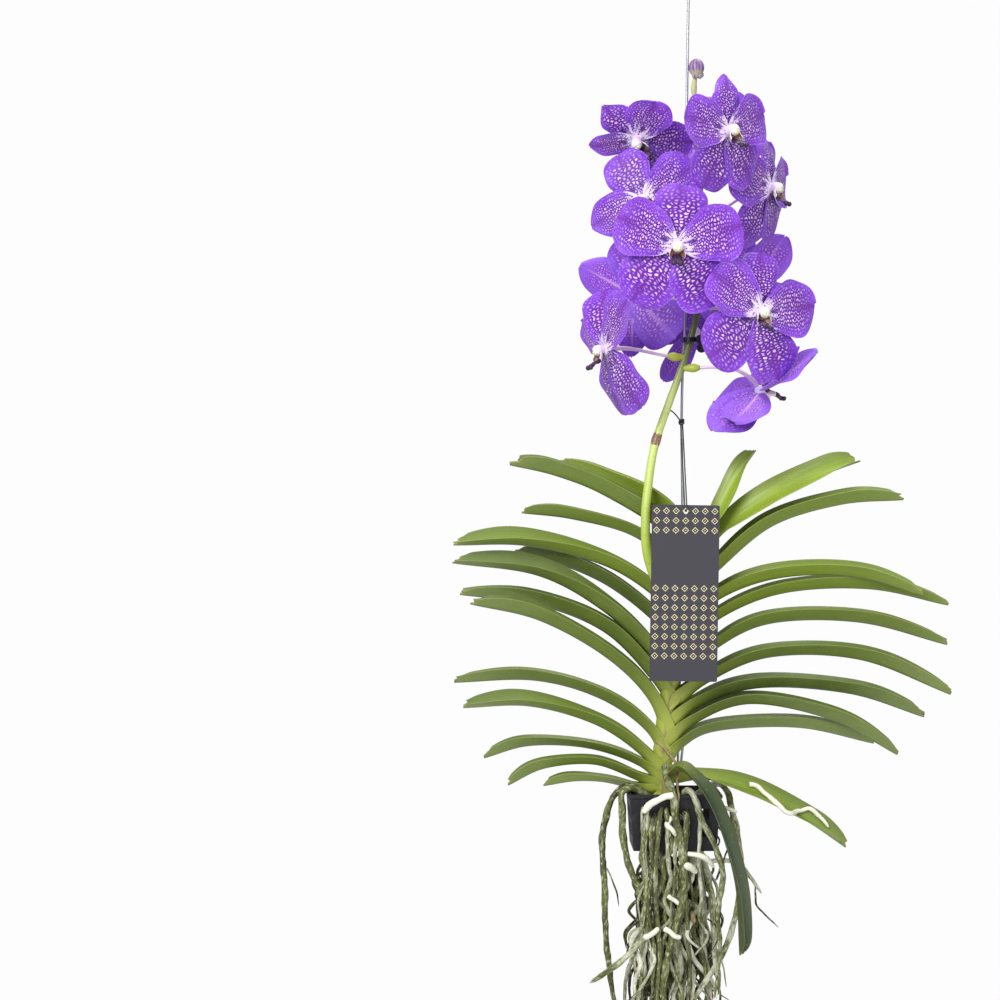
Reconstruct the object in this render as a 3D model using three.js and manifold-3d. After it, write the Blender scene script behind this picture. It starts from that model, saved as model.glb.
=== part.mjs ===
// Vanda orchid in flower, grown bare-rooted in a small slatted basket that hangs from a stiff wire.
// Millimetres, +Z up. The fan of leaves lies in the XZ plane and the front is -Y. Heights in this
// file are measured from the basket's rim, and the whole plant is lowered at the end so that the
// origin is the inside top of the hanger's hook.
import * as THREE from 'three';
import { mergeVertices } from 'three/addons/utils/BufferGeometryUtils.js';
import Module from 'manifold-3d';

const wasm = await Module();
wasm.setup();

// Driving dimensions
const fitGap = 0.3; // left between pieces that touch
const hookHeight = 726; // inside top of the hook above the basket's rim

const wire = {
  radius: 1.1,
  sides: 6,
  hookInside: 10, // radius of the hook's throat
  hookArc: [180, 155, 130, 105, 80, 55, 30, 5], // degrees round the hook, from its open side
  hookLip: 10, // how far the hook's open end reaches below its centre
  hookFlare: 1.5, // and outwards
  neck: [[9, 705], [3.5, 697], [0.3, 688]], // x, z of the bend that brings the wire under the hook
  run: [
    [0, 0, 664], [-1, 4, 582], [-1, 6, 496], [-2, 7, 405], [-4, 9, 362], [-5, 12, 308],
    [-4, 17, 241], [-4, 20, 159], [-6, 26, 74], [-7, 33, 12], [-7, 33.5, -2],
  ],
  catchX: -7,
  catchTurn: 2.4, // radius of the bend under the window's top edge
  catchArc: [0, 45, 90, 135, 180],
  endRise: [[-7, 40.6, -4], [-6, 41.2, 4], [-4, 41.6, 16], [-2, 41, 34]], // free end behind the back wall
  hookFoot: 664, // height at which the hook's solid ends and the straight wire's begins
  hookSeam: 0.05,
};

const basket = {
  centre: [-13.4, 0],
  rimWidth: 78,
  rimHeight: 3,
  topWidth: 75,
  floorWidth: 69,
  height: 47,
  wall: 1.8,
  windowWidth: 8.5,
  windowHeight: 9.5,
  windowColumns: [-24, -8, 8, 24],
  windowRows: [-16.5, -30.5], // heights of the window centres
  floorBar: 4,
  floorLedge: 1, // left all round the floor's openings
};

const stem = {
  axis: [[-22, -3], [-21, 19], [-16, 57], [-9, 89], [1, 160], [7, 206]], // x, z
  foot: -3,
  top: 204,
  sheaths: 9,
  halfWidth: [7.5, 5], // at the foot and at the top
  halfDepth: [6, 4],
  sheathFlare: 1.1,
  mouth: 0.012, // share of the stem's length over which a sheath's mouth steps in
  sides: 8,
};

const leafForm = {
  thickness: 1.3,
  rows: [0, 0.1, 0.24, 0.42, 0.62, 0.8, 0.93, 1],
  baseShare: 0.6, // of the full half width, where the blade leaves its sheath
  baseFold: 66, // degrees that each half is raised at the base, round the stem
  tipFold: 52,
  widened: 0.3, // share of the length by which the blade has its full width
  opened: 0.35, // by which it has opened to its fold
  rolled: 0.5, // by which it has its roll
  closing: [0.55, 1], // over which the fold changes to the tip's
  twisting: [0.45, 0.9], // over which it twists
  tipStart: 0.8, // share of the length where the margins round in
  tipShare: 0.4,
  tooth: 3, // how far the keel's point passes the margins
  clasping: 6, // leaves below that a base has to clear
};

// Keels run from the stem to the tip in x, z. Depth is how far the tip bends back, in y.
const leaves = [
  {
    name: 'leaf_left_01', half: 17, fold: 52, roll: 4, depth: -22,
    keel: [[1, 176], [-17, 214], [-69, 248], [-111, 265], [-150, 274]],
  },
  {
    name: 'leaf_left_02', half: 15, fold: 50, roll: 6, depth: 26,
    keel: [[4, 191], [-10, 223], [-37, 246], [-74, 262], [-111, 275]],
  },
  {
    name: 'leaf_left_03', half: 13, fold: 46, roll: 2, depth: 4,
    keel: [[-2, 158], [-17, 192], [-49, 216], [-98, 229], [-140, 234]],
  },
  {
    name: 'leaf_left_04', half: 16, fold: 44, roll: 4, twist: 26, depth: -14,
    keel: [[-4, 124], [-19, 155], [-66, 188], [-133, 206], [-197, 207]],
  },
  {
    name: 'leaf_left_05', half: 15, fold: 46, roll: 4, depth: 22,
    keel: [[-6, 106], [-21, 135], [-63, 170], [-106, 190], [-146, 200]],
  },
  {
    name: 'leaf_left_06', half: 17, fold: 48, roll: 4, twist: 26, depth: -12,
    keel: [[-9, 84], [-27, 109], [-69, 150], [-125, 181], [-198, 192]],
  },
  {
    name: 'leaf_left_07', half: 16, fold: 48, roll: 4, depth: 12,
    keel: [[-12, 63], [-29, 92], [-69, 133], [-125, 156], [-192, 165]],
  },
  {
    name: 'leaf_left_08', half: 16, fold: 44, roll: 4, depth: -14,
    keel: [[-18, 34], [-32, 76], [-69, 113], [-125, 144], [-183, 158]],
  },
  {
    name: 'leaf_left_09', half: 14, fold: 40, roll: 2, depth: 10,
    keel: [[-20, 19], [-34, 50], [-74, 78], [-129, 93], [-197, 91]],
  },
  {
    name: 'leaf_left_10', half: 14, fold: 42, roll: 4, twist: 24, depth: -12,
    keel: [[-22, 8], [-41, 32], [-79, 57], [-133, 72], [-189, 71]],
  },
  {
    name: 'leaf_left_11', half: 12, fold: 34, roll: 2, depth: 12,
    keel: [[-22, 1], [-40, 21], [-83, 36], [-133, 38], [-172, 27]],
  },
  {
    name: 'leaf_left_12', half: 12, fold: 36, roll: 2, depth: -8,
    keel: [[-22, -1], [-44, 10], [-79, 23], [-121, 20], [-152, 6]],
  },
  {
    name: 'leaf_left_13', half: 10, fold: 34, roll: 2, depth: -2,
    keel: [[-23, -3], [-46, 2], [-70, 8], [-95, 9], [-122, 5]],
  },
  {
    name: 'leaf_right_01', half: 11, fold: 24, roll: 42, depth: 8,
    keel: [[9, 196], [20, 220], [32, 245], [43, 266], [57, 286]],
  },
  {
    name: 'leaf_right_02', half: 16, fold: 26, roll: 40, depth: 6,
    keel: [[6, 180], [25, 213], [68, 245], [112, 265], [145, 277]],
  },
  {
    name: 'leaf_right_03', half: 16, fold: 46, roll: 8, depth: -8,
    keel: [[2, 162], [25, 186], [70, 223], [127, 241], [179, 245]],
  },
  {
    name: 'leaf_right_04', half: 15, fold: 50, roll: 12, depth: -16,
    keel: [[-3, 131], [23, 160], [73, 179], [136, 181], [194, 165]],
  },
  {
    name: 'leaf_right_05', half: 14, fold: 46, roll: 6, depth: 10,
    keel: [[-6, 111], [21, 142], [77, 166], [152, 170], [220, 156]],
  },
  {
    name: 'leaf_right_06', half: 15, fold: 42, roll: 4, depth: 4,
    keel: [[-9, 90], [20, 118], [68, 141], [144, 142], [218, 123]],
  },
  {
    name: 'leaf_right_07', half: 16, fold: 40, roll: 6, depth: -10,
    keel: [[-13, 66], [15, 91], [68, 113], [144, 111], [219, 82]],
  },
  {
    name: 'leaf_right_08', half: 16, fold: 42, roll: 6, depth: 6,
    keel: [[-16, 46], [8, 71], [60, 87], [136, 82], [199, 62]],
  },
  {
    name: 'leaf_right_09', half: 15, fold: 40, roll: 4, depth: -14,
    keel: [[-18, 31], [5, 57], [52, 74], [119, 61], [174, 32]],
  },
  {
    name: 'leaf_right_10', half: 14, fold: 40, roll: 4, depth: 16,
    keel: [[-20, 15], [-4, 38], [26, 51], [94, 53], [158, 39]],
  },
  {
    name: 'leaf_right_11', half: 13, fold: 26, roll: 38, depth: -4,
    keel: [[-20, 5], [14, 10], [56, -1], [98, -24], [132, -47]],
  },
  {
    name: 'leaf_right_12', half: 12, fold: 26, roll: 30, depths: [-5, -34, -54, -58, -60],
    keel: [[-19, 9], [-5, 19], [17, -10], [35, -68], [39, -129]],
  },
];

const spike = {
  axis: [
    [-9, -3, 128], [-22, -15, 160], [-35, -19, 197], [-37, -18, 227], [-35, -15, 253], [-29, -10, 289],
    [-17, -4, 324], [-7, 0, 351], [1, 0, 376], [8, 0, 405], [12, 0, 437], [12, 0, 466], [11, 0, 496],
    [8, 0, 529], [7, 0, 559], [6, 0, 577],
  ],
  radii: [4.4, 1.5], // at the foot and at the top
  steps: 22,
  sides: 6,
  scarHeight: 294, // ring left by a fallen bract
  scarBand: 6, // from its middle to either edge
  scarProud: 0.7,
  bractRadius: 2.6,
  bractGirth: [0.8, 1, 0.75], // of that radius: at its foot, at its belly and at its mouth
  bractBelly: 0.6, // share of the bract's length
};

const tepalForm = {
  thickness: 1,
  claw: 2.4, // half width at the centre of the bloom
  rows: [0, 0.25, 0.55, 0.84, 1],
  columns: [-1, 0, 1],
  broadening: 0.85, // exponents of the outline: how fast it widens, and how blunt its tip is
  bluntness: 0.42,
};

// Dorsal sepal, two lateral sepals and two petals. Angles are counted from the bloom's right. rise
// and fall bow a tepal along its length, and curl bends its margins back, as shares of its size.
const tepals = [
  { name: 'dorsal', angle: 90, length: 51, width: 44, start: -1.2, rise: 0.12, fall: 0.2, curl: 0.1 },
  { name: 'leftSepal', angle: 234, length: 58, width: 50, start: -2.2, rise: 0.14, fall: 0.18, curl: 0.08 },
  { name: 'rightSepal', angle: 306, length: 58, width: 50, start: -0.9, rise: 0.1, fall: 0.12, curl: 0.08 },
  { name: 'rightPetal', angle: 22, length: 55, width: 48, start: 1, rise: 0.18, fall: 0.16, curl: -0.05 },
  { name: 'leftPetal', angle: 158, length: 55, width: 48, start: 1, rise: 0.18, fall: 0.16, curl: -0.05 },
];

// The heart of each bloom, in its own frame: x to its right, y to its dorsal sepal, z out of its face.
const heart = {
  hubRadius: 4.5,
  hubBack: -4,
  hubFront: 2.4,
  column: [[0, 0, 3.1], [0, -0.4, 5.5], [0, -1, 8], [0, -1.6, 10.4]],
  columnRadii: [3.8, 4.1, 4.5, 2.6],
  lip: [[0, -3.5, 3.8], [0, -7.5, 8], [0, -10, 13], [0, -13, 18]],
  lipHalf: [2.6, 4, 5.6, 3.4],
  lipThickness: 2.2,
  earStart: [2, -2.5, 5],
  earEnd: [6.5, -5.5, 9.5],
  earHalf: [2.4, 2.8],
  earThickness: 1.2,
};

const pedicel = {
  radius: 1.6,
  away: 0.4, // shares of its span that it keeps leaving the spike
  home: 0.45, // and coming in behind the bloom
  steps: 6,
  sides: 5,
};

// Azimuth turns the face from the front (-Y) towards +X, elevation tips it up, roll turns it
// counter-clockwise as its viewer sees it, sweep leans the tepals back, and foot is the height
// where its pedicel leaves the spike. own changes a tepal: turn, sweep and twist in degrees, length
// and width as shares, and the bluntness of its tip.
const blooms = [
  {
    name: 'bloom_01', centre: [29, -51, 547], size: 0.9, foot: 520, bract: 3.5,
    azimuth: 42, elevation: 0, roll: 5, sweep: 5,
    own: {
      dorsal: { turn: -13, length: 1.07, width: 0.78, bluntness: 0.95 },
      leftSepal: { turn: 8 },
      rightPetal: { turn: -6 },
      leftPetal: { turn: 8 },
    },
  },
  {
    name: 'bloom_02', centre: [-44, -29, 544], size: 0.79, foot: 512, bract: 3.5,
    azimuth: -14, elevation: -50, roll: 40, sweep: 4,
    own: {
      dorsal: { bluntness: 0.95 },
      leftPetal: { turn: -6, width: 0.68, bluntness: 0.9 },
    },
  },
  {
    name: 'bloom_03', centre: [-39, -43, 491], size: 0.9, foot: 480, bract: 3.5,
    azimuth: -10, elevation: -2, roll: 32, sweep: 5,
    own: {
      rightPetal: { turn: -20 },
      leftPetal: { turn: 15, width: 0.84, bluntness: 0.75 },
    },
  },
  {
    name: 'bloom_04', centre: [-13.5, -65, 451], size: 1, foot: 442, bract: 3.5,
    azimuth: 0, elevation: -8, roll: -4, sweep: 0,
  },
  {
    name: 'bloom_05', centre: [70, 11, 507], size: 0.93, foot: 484, bract: 3.5,
    azimuth: 58, elevation: -4, roll: 0, sweep: 12,
    own: {
      dorsal: { turn: -24, width: 0.85 },
      leftSepal: { turn: 14 },
      rightSepal: { turn: 10 },
      rightPetal: { turn: -6, length: 0.9, bluntness: 0.7 },
      leftPetal: { turn: 14 },
    },
  },
  {
    name: 'bloom_06', centre: [55, -55, 397], size: 1, foot: 404, bract: 3.5,
    azimuth: 27, elevation: 0, roll: -14, sweep: 4,
    own: {
      dorsal: { turn: 8, width: 0.84 },
      rightPetal: { bluntness: 0.6 },
    },
  },
  {
    name: 'bloom_07', centre: [-70.5, -18, 369], size: 1.02, foot: 362, bract: 9.5,
    azimuth: -66, elevation: -8, roll: 4, sweep: 8,
    own: {
      dorsal: { turn: 8, twist: 32 },
      leftSepal: { turn: 14, sweep: 3 },
      rightSepal: { turn: -12, sweep: 2 },
      rightPetal: { turn: 18, width: 0.85 },
      leftPetal: { turn: -8, width: 0.55, bluntness: 0.8 },
    },
  },
  {
    name: 'bloom_08', centre: [-44, 50, 420], size: 0.95, foot: 410, bract: 3.5, leaving: [-1, 0, 0],
    azimuth: 170, elevation: 0, roll: 0, sweep: 10,
    own: {
      rightPetal: { turn: 7, width: 0.8, bluntness: 0.85 },
      rightSepal: { turn: -36, width: 0.6, bluntness: 0.7 },
      leftSepal: { turn: -8 },
    },
  },
  {
    name: 'bloom_09', centre: [59, -11, 335], size: 1.02, foot: 353, bract: 9.5,
    azimuth: 114, elevation: -54, roll: -172, sweep: 4,
  },
  {
    name: 'bloom_10', centre: [61, 58, 430], size: 0.95, foot: 430, bract: 3.5,
    azimuth: 190, elevation: 0, roll: 32, sweep: 0,
    own: {
      dorsal: { width: 0.85, bluntness: 0.75 },
      leftPetal: { turn: 34 },
    },
  },
  {
    name: 'bloom_11', centre: [12, 73, 389], size: 0.88, foot: 392, bract: 3.5,
    azimuth: 175, elevation: 0, roll: -2, sweep: 2,
    own: {
      rightSepal: { width: 0.5, bluntness: 0.7 },
      leftSepal: { turn: -38 },
    },
  },
  {
    name: 'bloom_12', centre: [27, 64, 560], size: 0.8, foot: 516, bract: 3.5,
    azimuth: 178, elevation: 0, roll: 30, sweep: 8,
    own: {
      rightSepal: { turn: -20, length: 0.8 },
      rightPetal: { turn: 50, length: 0.7 },
    },
  },
];

const bud = {
  centre: [6.5, -4, 606],
  radius: 6.8,
  length: 1.12, // of the radius
  nose: { radius: 2.4, offset: [2, -2, -8] }, // the folded lip below it
  foot: [6, 0, 578],
  stalk: [[4.5, 0, 588], [5.5, -2, 598]],
  stalkRadius: 1.5,
};

const rootForm = {
  crown: { centre: [-21, 0, -15], radii: [14, 13, 11] },
  sides: 4,
  stepsPerPoint: 1.4,
  tipShare: 0.35,
  taper: 6, // exponent that keeps a root's girth until near its tip
};

// Roots that show on the outside, from the crown or the stem to their tips.
const outerRoots = [
  {
    name: 'main root down the front', radius: 3.4,
    route: [
      [-20, -6, 20], [-19, -20, 12], [-17, -36, 5.5], [-15, -44, -3], [-13, -43.5, -22],
      [-8, -42, -46], [-6, -40, -70], [-9, -37, -95], [-18, -34, -128], [-23, -32, -160],
      [-21, -30, -200], [-24, -28, -238],
    ],
  },
  {
    name: 'left root over the rim', radius: 2.8,
    route: [
      [-24, -4, -14], [-36, -7, -3], [-47, -10, 3.6], [-58, -12, 2], [-68, -13, -14],
      [-73, -13, -42], [-71, -12, -76], [-70, -12, -118], [-66, -10, -155], [-61, -8, -190],
      [-58, -6, -228],
    ],
  },
  {
    name: 'second left root', radius: 3,
    route: [
      [-24, -8, -16], [-36, -18, -4], [-48, -24, 4.2], [-56.5, -27, 1], [-57, -28, -14],
      [-55, -29, -45], [-47, -30, -70], [-34, -30, -95], [-28, -28, -120], [-31, -26, -160],
      [-34, -24, -205],
    ],
  },
  {
    name: 'right root over the front rim', radius: 2.6,
    route: [
      [-16, -8, -14], [-8, -26, -4], [-3, -38, 3.8], [2, -43.5, -2], [9, -43.5, -22],
      [20, -42, -44], [26, -38, -68], [22, -34, -98], [24, -30, -130], [20, -26, -170],
    ],
  },
  {
    name: 'right root that swings out', radius: 2.8,
    route: [
      [-14, 6, -16], [6, 12, -6], [22, 14, 3.6], [33, 14, -2], [40, 10, -30],
      [44, 0, -62], [40, -12, -98], [28, -20, -132], [10, -26, -160], [-3, -28, -182],
      [-10, -28, -220],
    ],
  },
];

// A thin root that leaves the mass on either side, below the basket.
const strayRoots = [
  {
    radius: 2.6,
    route: [[-24, -10, -84], [-34, -30, -112], [-54, -36, -134], [-72, -36, -148], [-84, -34, -156]],
  },
  {
    radius: 2,
    route: [[14, 0, -60], [34, 6, -62], [50, 8, -76], [60, 8, -90], [62, 6, -104], [75, 4, -116]],
  },
];

const innerRoots = {
  count: 13,
  seed: 7,
  radius: [1.9, 3],
  bottom: [-235, -165],
  spread: [30, 22], // half widths of the hanging mass in x and y
  wander: 5,
  start: 5, // from the crown's middle
  gate: 16, // middle of each floor opening from the basket's middle
  gatePlay: 7,
  hang: [14, 8], // where the roots hang below, from the basket's middle
  shoulder: 14, // height that they lose before they turn down
  steps: 8,
};

const tag = {
  width: 56,
  height: 146,
  thickness: 0.8,
  corner: 1.5,
  holeRadius: 2,
  holeDrop: 5.5, // from the top edge to the hole's centre
  top: [-4.5, -35, 239.5],
  turn: 0.9, // degrees clockwise, as seen from the front
};

const tagCord = {
  radius: 0.55,
  knot: [-5.2, 8.6, 307.5], // where both strands leave the knot
  strandGap: 1.7,
  loopReach: 3, // from the hole's centre to the cord in front of and behind the card
  loopRise: 3.5, // above the hole, where the strands meet the loop
  loopLean: 0.6, // to either side
  steps: 40,
  sides: 6,
};

const knot = {
  centre: [-5, 12, 310],
  height: 5,
  radii: [2.1, 3], // at its top and its bottom
  arm: [[-6.5, 10.5, 311], [-12, 5, 317], [-19, -3, 321]],
  armRadius: 0.8,
};

const clip = {
  height: 378,
  band: 4, // tall
  thickness: 1.4,
  inside: 4.6, // half width of the band's inside
  reach: [-2.5, 7.5], // its straight sides, from the stalk towards the wire
  shift: -1.5, // of the band to the stalk's left
  arcSegments: 5,
  knobRadius: 4.2,
  knobDepth: 4,
  knobs: [[9.5, -7, 378], [10.5, -7, 371]],
};

const paints = {
  blackPlastic: { color: 0x1d1d22, roughness: 0.5, metalness: 0 },
  wireSteel: { color: 0xb9bbc0, roughness: 0.35, metalness: 1 },
  stemGreen: { color: 0x9aa63c, roughness: 0.55, metalness: 0 },
  leafGreen: { color: 0x5f7f2c, roughness: 0.45, metalness: 0 },
  spikeGreen: { color: 0x8c9a48, roughness: 0.5, metalness: 0 },
  tepalViolet: { color: 0x6b2fbf, roughness: 0.55, metalness: 0 },
  heartCream: { color: 0xe8dcc8, roughness: 0.5, metalness: 0 },
  budMauve: { color: 0xa58aa8, roughness: 0.5, metalness: 0 },
  rootGrey: { color: 0x9aa67e, roughness: 0.7, metalness: 0 },
  tagCharcoal: { color: 0x55535c, roughness: 0.6, metalness: 0 },
  cordBlack: { color: 0x18181b, roughness: 0.8, metalness: 0 },
};

const up = new THREE.Vector3(0, 0, 1);
const back = new THREE.Vector3(0, 1, 0);
const degrees = THREE.MathUtils.degToRad;
const mix = THREE.MathUtils.lerp;
const smooth = THREE.MathUtils.smoothstep;
const vector = (xyz) => new THREE.Vector3(...xyz);

// Closed meshes

// Two grids of points alike in size become the upper and lower face of a blade. Rows run along
// it and columns across it, and both faces are split along the same diagonals.
function bladeGeometry(upper, lower) {
  const rows = upper.length;
  const columns = upper[0].length;
  const above = (i, j) => i * columns + j;
  const below = (i, j) => (rows + i) * columns + j;
  const triangles = [];
  const quad = (a, b, c, d) => triangles.push(a, b, c, a, c, d);
  for (let i = 0; i < rows - 1; i += 1) {
    for (let j = 0; j < columns - 1; j += 1) {
      quad(above(i, j), above(i + 1, j), above(i + 1, j + 1), above(i, j + 1));
      quad(below(i, j), below(i, j + 1), below(i + 1, j + 1), below(i + 1, j));
    }
    quad(above(i, 0), below(i, 0), below(i + 1, 0), above(i + 1, 0));
    quad(above(i + 1, columns - 1), below(i + 1, columns - 1), below(i, columns - 1), above(i, columns - 1));
  }
  for (let j = 0; j < columns - 1; j += 1) {
    quad(above(0, j + 1), below(0, j + 1), below(0, j), above(0, j));
    quad(above(rows - 1, j), below(rows - 1, j), below(rows - 1, j + 1), above(rows - 1, j + 1));
  }
  return indexedGeometry([...upper.flat(), ...lower.flat()], triangles);
}

// Rings of points alike in number, each counter-clockwise about the way ahead, become a closed skin.
function ringGeometry(rings) {
  const sides = rings[0].length;
  const at = (i, k) => i * sides + (k % sides);
  const triangles = [];
  for (let i = 0; i < rings.length - 1; i += 1) {
    for (let k = 0; k < sides; k += 1) {
      triangles.push(at(i, k), at(i, k + 1), at(i + 1, k + 1));
      triangles.push(at(i, k), at(i + 1, k + 1), at(i + 1, k));
    }
  }
  for (let k = 1; k < sides - 1; k += 1) {
    triangles.push(at(0, 0), at(0, k + 1), at(0, k));
    triangles.push(at(rings.length - 1, 0), at(rings.length - 1, k), at(rings.length - 1, k + 1));
  }
  return indexedGeometry(rings.flat(), triangles);
}

function indexedGeometry(points, triangles) {
  const geometry = new THREE.BufferGeometry();
  geometry.setAttribute('position', new THREE.Float32BufferAttribute(points.flatMap((p) => p.toArray()), 3));
  geometry.setIndex(triangles);
  return geometry;
}

// A tube through points, with a radius for each, its section carried along without twist.
function tubeGeometry(points, radii, sides) {
  const tangents = points.map((point, i) => {
    const before = points[Math.max(i - 1, 0)];
    const after = points[Math.min(i + 1, points.length - 1)];
    return after.clone().sub(before).normalize();
  });
  const side = Math.abs(tangents[0].y) > 0.9 ? up.clone() : back.clone();
  const rings = points.map((point, i) => {
    side.addScaledVector(tangents[i], -side.dot(tangents[i])).normalize();
    const other = tangents[i].clone().cross(side);
    return Array.from({ length: sides }, (_, k) => {
      const turn = (2 * Math.PI * k) / sides;
      return point.clone()
        .addScaledVector(side, radii[i] * Math.cos(turn))
        .addScaledVector(other, radii[i] * Math.sin(turn));
    });
  });
  return ringGeometry(rings);
}

function smoothPoints(route, steps) {
  return new THREE.CatmullRomCurve3(route.map(vector), false, 'catmullrom', 0.5).getPoints(steps);
}

// Solids for cutting and joining

const weldDistance = 1e-3;

function toSolid(geometry) {
  const bare = new THREE.BufferGeometry();
  bare.setAttribute('position', geometry.getAttribute('position'));
  bare.setIndex(geometry.getIndex());
  const merged = mergeVertices(bare, weldDistance);
  return new wasm.Manifold(new wasm.Mesh({
    numProp: 3,
    vertProperties: merged.getAttribute('position').array,
    triVerts: Uint32Array.from(merged.getIndex().array),
  }));
}

function toGeometry(solid) {
  const mesh = solid.getMesh();
  const geometry = new THREE.BufferGeometry();
  geometry.setAttribute('position', new THREE.Float32BufferAttribute(mesh.vertProperties, 3));
  geometry.setIndex(new THREE.BufferAttribute(Uint32Array.from(mesh.triVerts), 1));
  return geometry;
}

const joined = (solids) => solids.reduce((whole, next) => whole.add(next));

// A cut can leave a loose scrap beside the piece, which is dropped.
function mainPiece(solid) {
  return solid.decompose().reduce((best, piece) => (piece.volume() > best.volume() ? piece : best));
}

function boxSolid(size, centre) {
  return toSolid(new THREE.BoxGeometry(...size).translate(...centre));
}

// Basket: square, tapered, with two rows of windows in each wall and a cross-barred floor

function frustumSolid(topWidth, bottomWidth, top, bottom) {
  const [topRadius, bottomRadius] = [topWidth, bottomWidth].map((width) => width / Math.SQRT2);
  const geometry = new THREE.CylinderGeometry(topRadius, bottomRadius, top - bottom, 4);
  geometry.rotateY(Math.PI / 4).rotateX(Math.PI / 2);
  return toSolid(geometry.translate(...basket.centre, (top + bottom) / 2));
}

// The basket with its walls grown by extra on every side, to clear what lies against it.
function basketSolid(extra) {
  const floorTop = basket.wall - basket.height;
  const grown = 2 * extra;
  const outer = frustumSolid(
    basket.topWidth + grown, basket.floorWidth + grown, extra, -basket.height - extra,
  );
  const rimWidth = basket.rimWidth + grown;
  const rim = frustumSolid(rimWidth, rimWidth, extra, -basket.rimHeight - extra);
  const inset = 2 * (basket.wall + extra);
  const slope = (basket.topWidth - basket.floorWidth) / basket.height;
  const above = 10; // the cut for the inside starts clear of the rim
  const inside = frustumSolid(
    basket.topWidth - inset + above * slope, basket.floorWidth - inset, above, floorTop + extra,
  );
  const reach = 2 * basket.rimWidth;
  const [x, y] = basket.centre;
  const windowWidth = basket.windowWidth - 2 * extra;
  const windowHeight = basket.windowHeight - 2 * extra;
  const windows = basket.windowRows.flatMap((z) => basket.windowColumns.flatMap((offset) => [
    boxSolid([windowWidth, reach, windowHeight], [x + offset, y, z]),
    boxSolid([reach, windowWidth, windowHeight], [x, y + offset, z]),
  ]));
  const quarter = (basket.floorWidth - inset - basket.floorBar) / 2 - extra;
  const opening = quarter - 2 * basket.floorLedge;
  const step = quarter / 2 + basket.floorBar / 2 + extra;
  const floorHoles = [[-step, -step], [-step, step], [step, -step], [step, step]].map(([dx, dy]) => (
    boxSolid([opening, opening, 4 * basket.wall], [x + dx, y + dy, -basket.height])
  ));
  return joined([outer, rim]).subtract(inside).subtract(joined([...windows, ...floorHoles]));
}

// Hanger: hook, straight wire and the bent end that catches the basket's back wall

function wireRoute() {
  const bend = wire.hookInside + wire.radius;
  const centreHeight = hookHeight - wire.hookInside;
  const hook = wire.hookArc.map((angle) => [
    bend * Math.cos(degrees(angle)), 0, centreHeight + bend * Math.sin(degrees(angle)),
  ]);
  const windowTop = basket.windowRows[0] + basket.windowHeight / 2;
  const seat = windowTop - fitGap - wire.radius;
  const slope = (basket.topWidth - basket.floorWidth) / 2 / basket.height;
  const wallMiddle = basket.topWidth / 2 + slope * seat - basket.wall / 2;
  const catchBend = wire.catchArc.map((angle) => [
    wire.catchX,
    wallMiddle - wire.catchTurn * Math.cos(degrees(angle)),
    seat + wire.catchTurn * (1 - Math.sin(degrees(angle))),
  ]);
  return [
    [-bend - wire.hookFlare, 0, centreHeight - wire.hookLip],
    ...hook,
    ...wire.neck.map(([x, z]) => [x, 0, z]),
    ...wire.run,
    ...catchBend,
    ...wire.endRise,
  ].map(vector);
}

function wireSolid(extra) {
  const points = wireRoute();
  return toSolid(tubeGeometry(points, points.map(() => wire.radius + extra), wire.sides));
}

// Stem: a narrow column of overlapping sheaths, each a little wider at its mouth

function stemSolid(extra) {
  const axis = new THREE.CatmullRomCurve3(stem.axis.map(([x, z]) => new THREE.Vector3(x, 0, z)));
  const length = stem.top - stem.foot;
  const ringAt = (share, flare) => {
    const centre = axis.getPoint(share);
    const halfWidth = mix(...stem.halfWidth, share) + flare + extra;
    const halfDepth = mix(...stem.halfDepth, share) + flare / 2 + extra;
    return Array.from({ length: stem.sides }, (_, k) => {
      const turn = (2 * Math.PI * (k + 0.5)) / stem.sides;
      return new THREE.Vector3(
        centre.x + halfWidth * Math.cos(turn),
        halfDepth * Math.sin(turn),
        stem.foot + share * length,
      );
    });
  };
  const rings = [ringAt(0, 0)];
  for (let n = 1; n <= stem.sheaths; n += 1) {
    const share = n / (stem.sheaths + 1);
    rings.push(ringAt(share - stem.mouth, stem.sheathFlare), ringAt(share, 0));
  }
  rings.push(ringAt(1, 0));
  if (extra > 0) {
    rings[0].forEach((point) => { point.z -= extra; });
    rings.at(-1).forEach((point) => { point.z += extra; });
  }
  return toSolid(ringGeometry(rings));
}

// Leaves: keeled straps, folded round the stem at the base and opening towards a bitten tip

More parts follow.
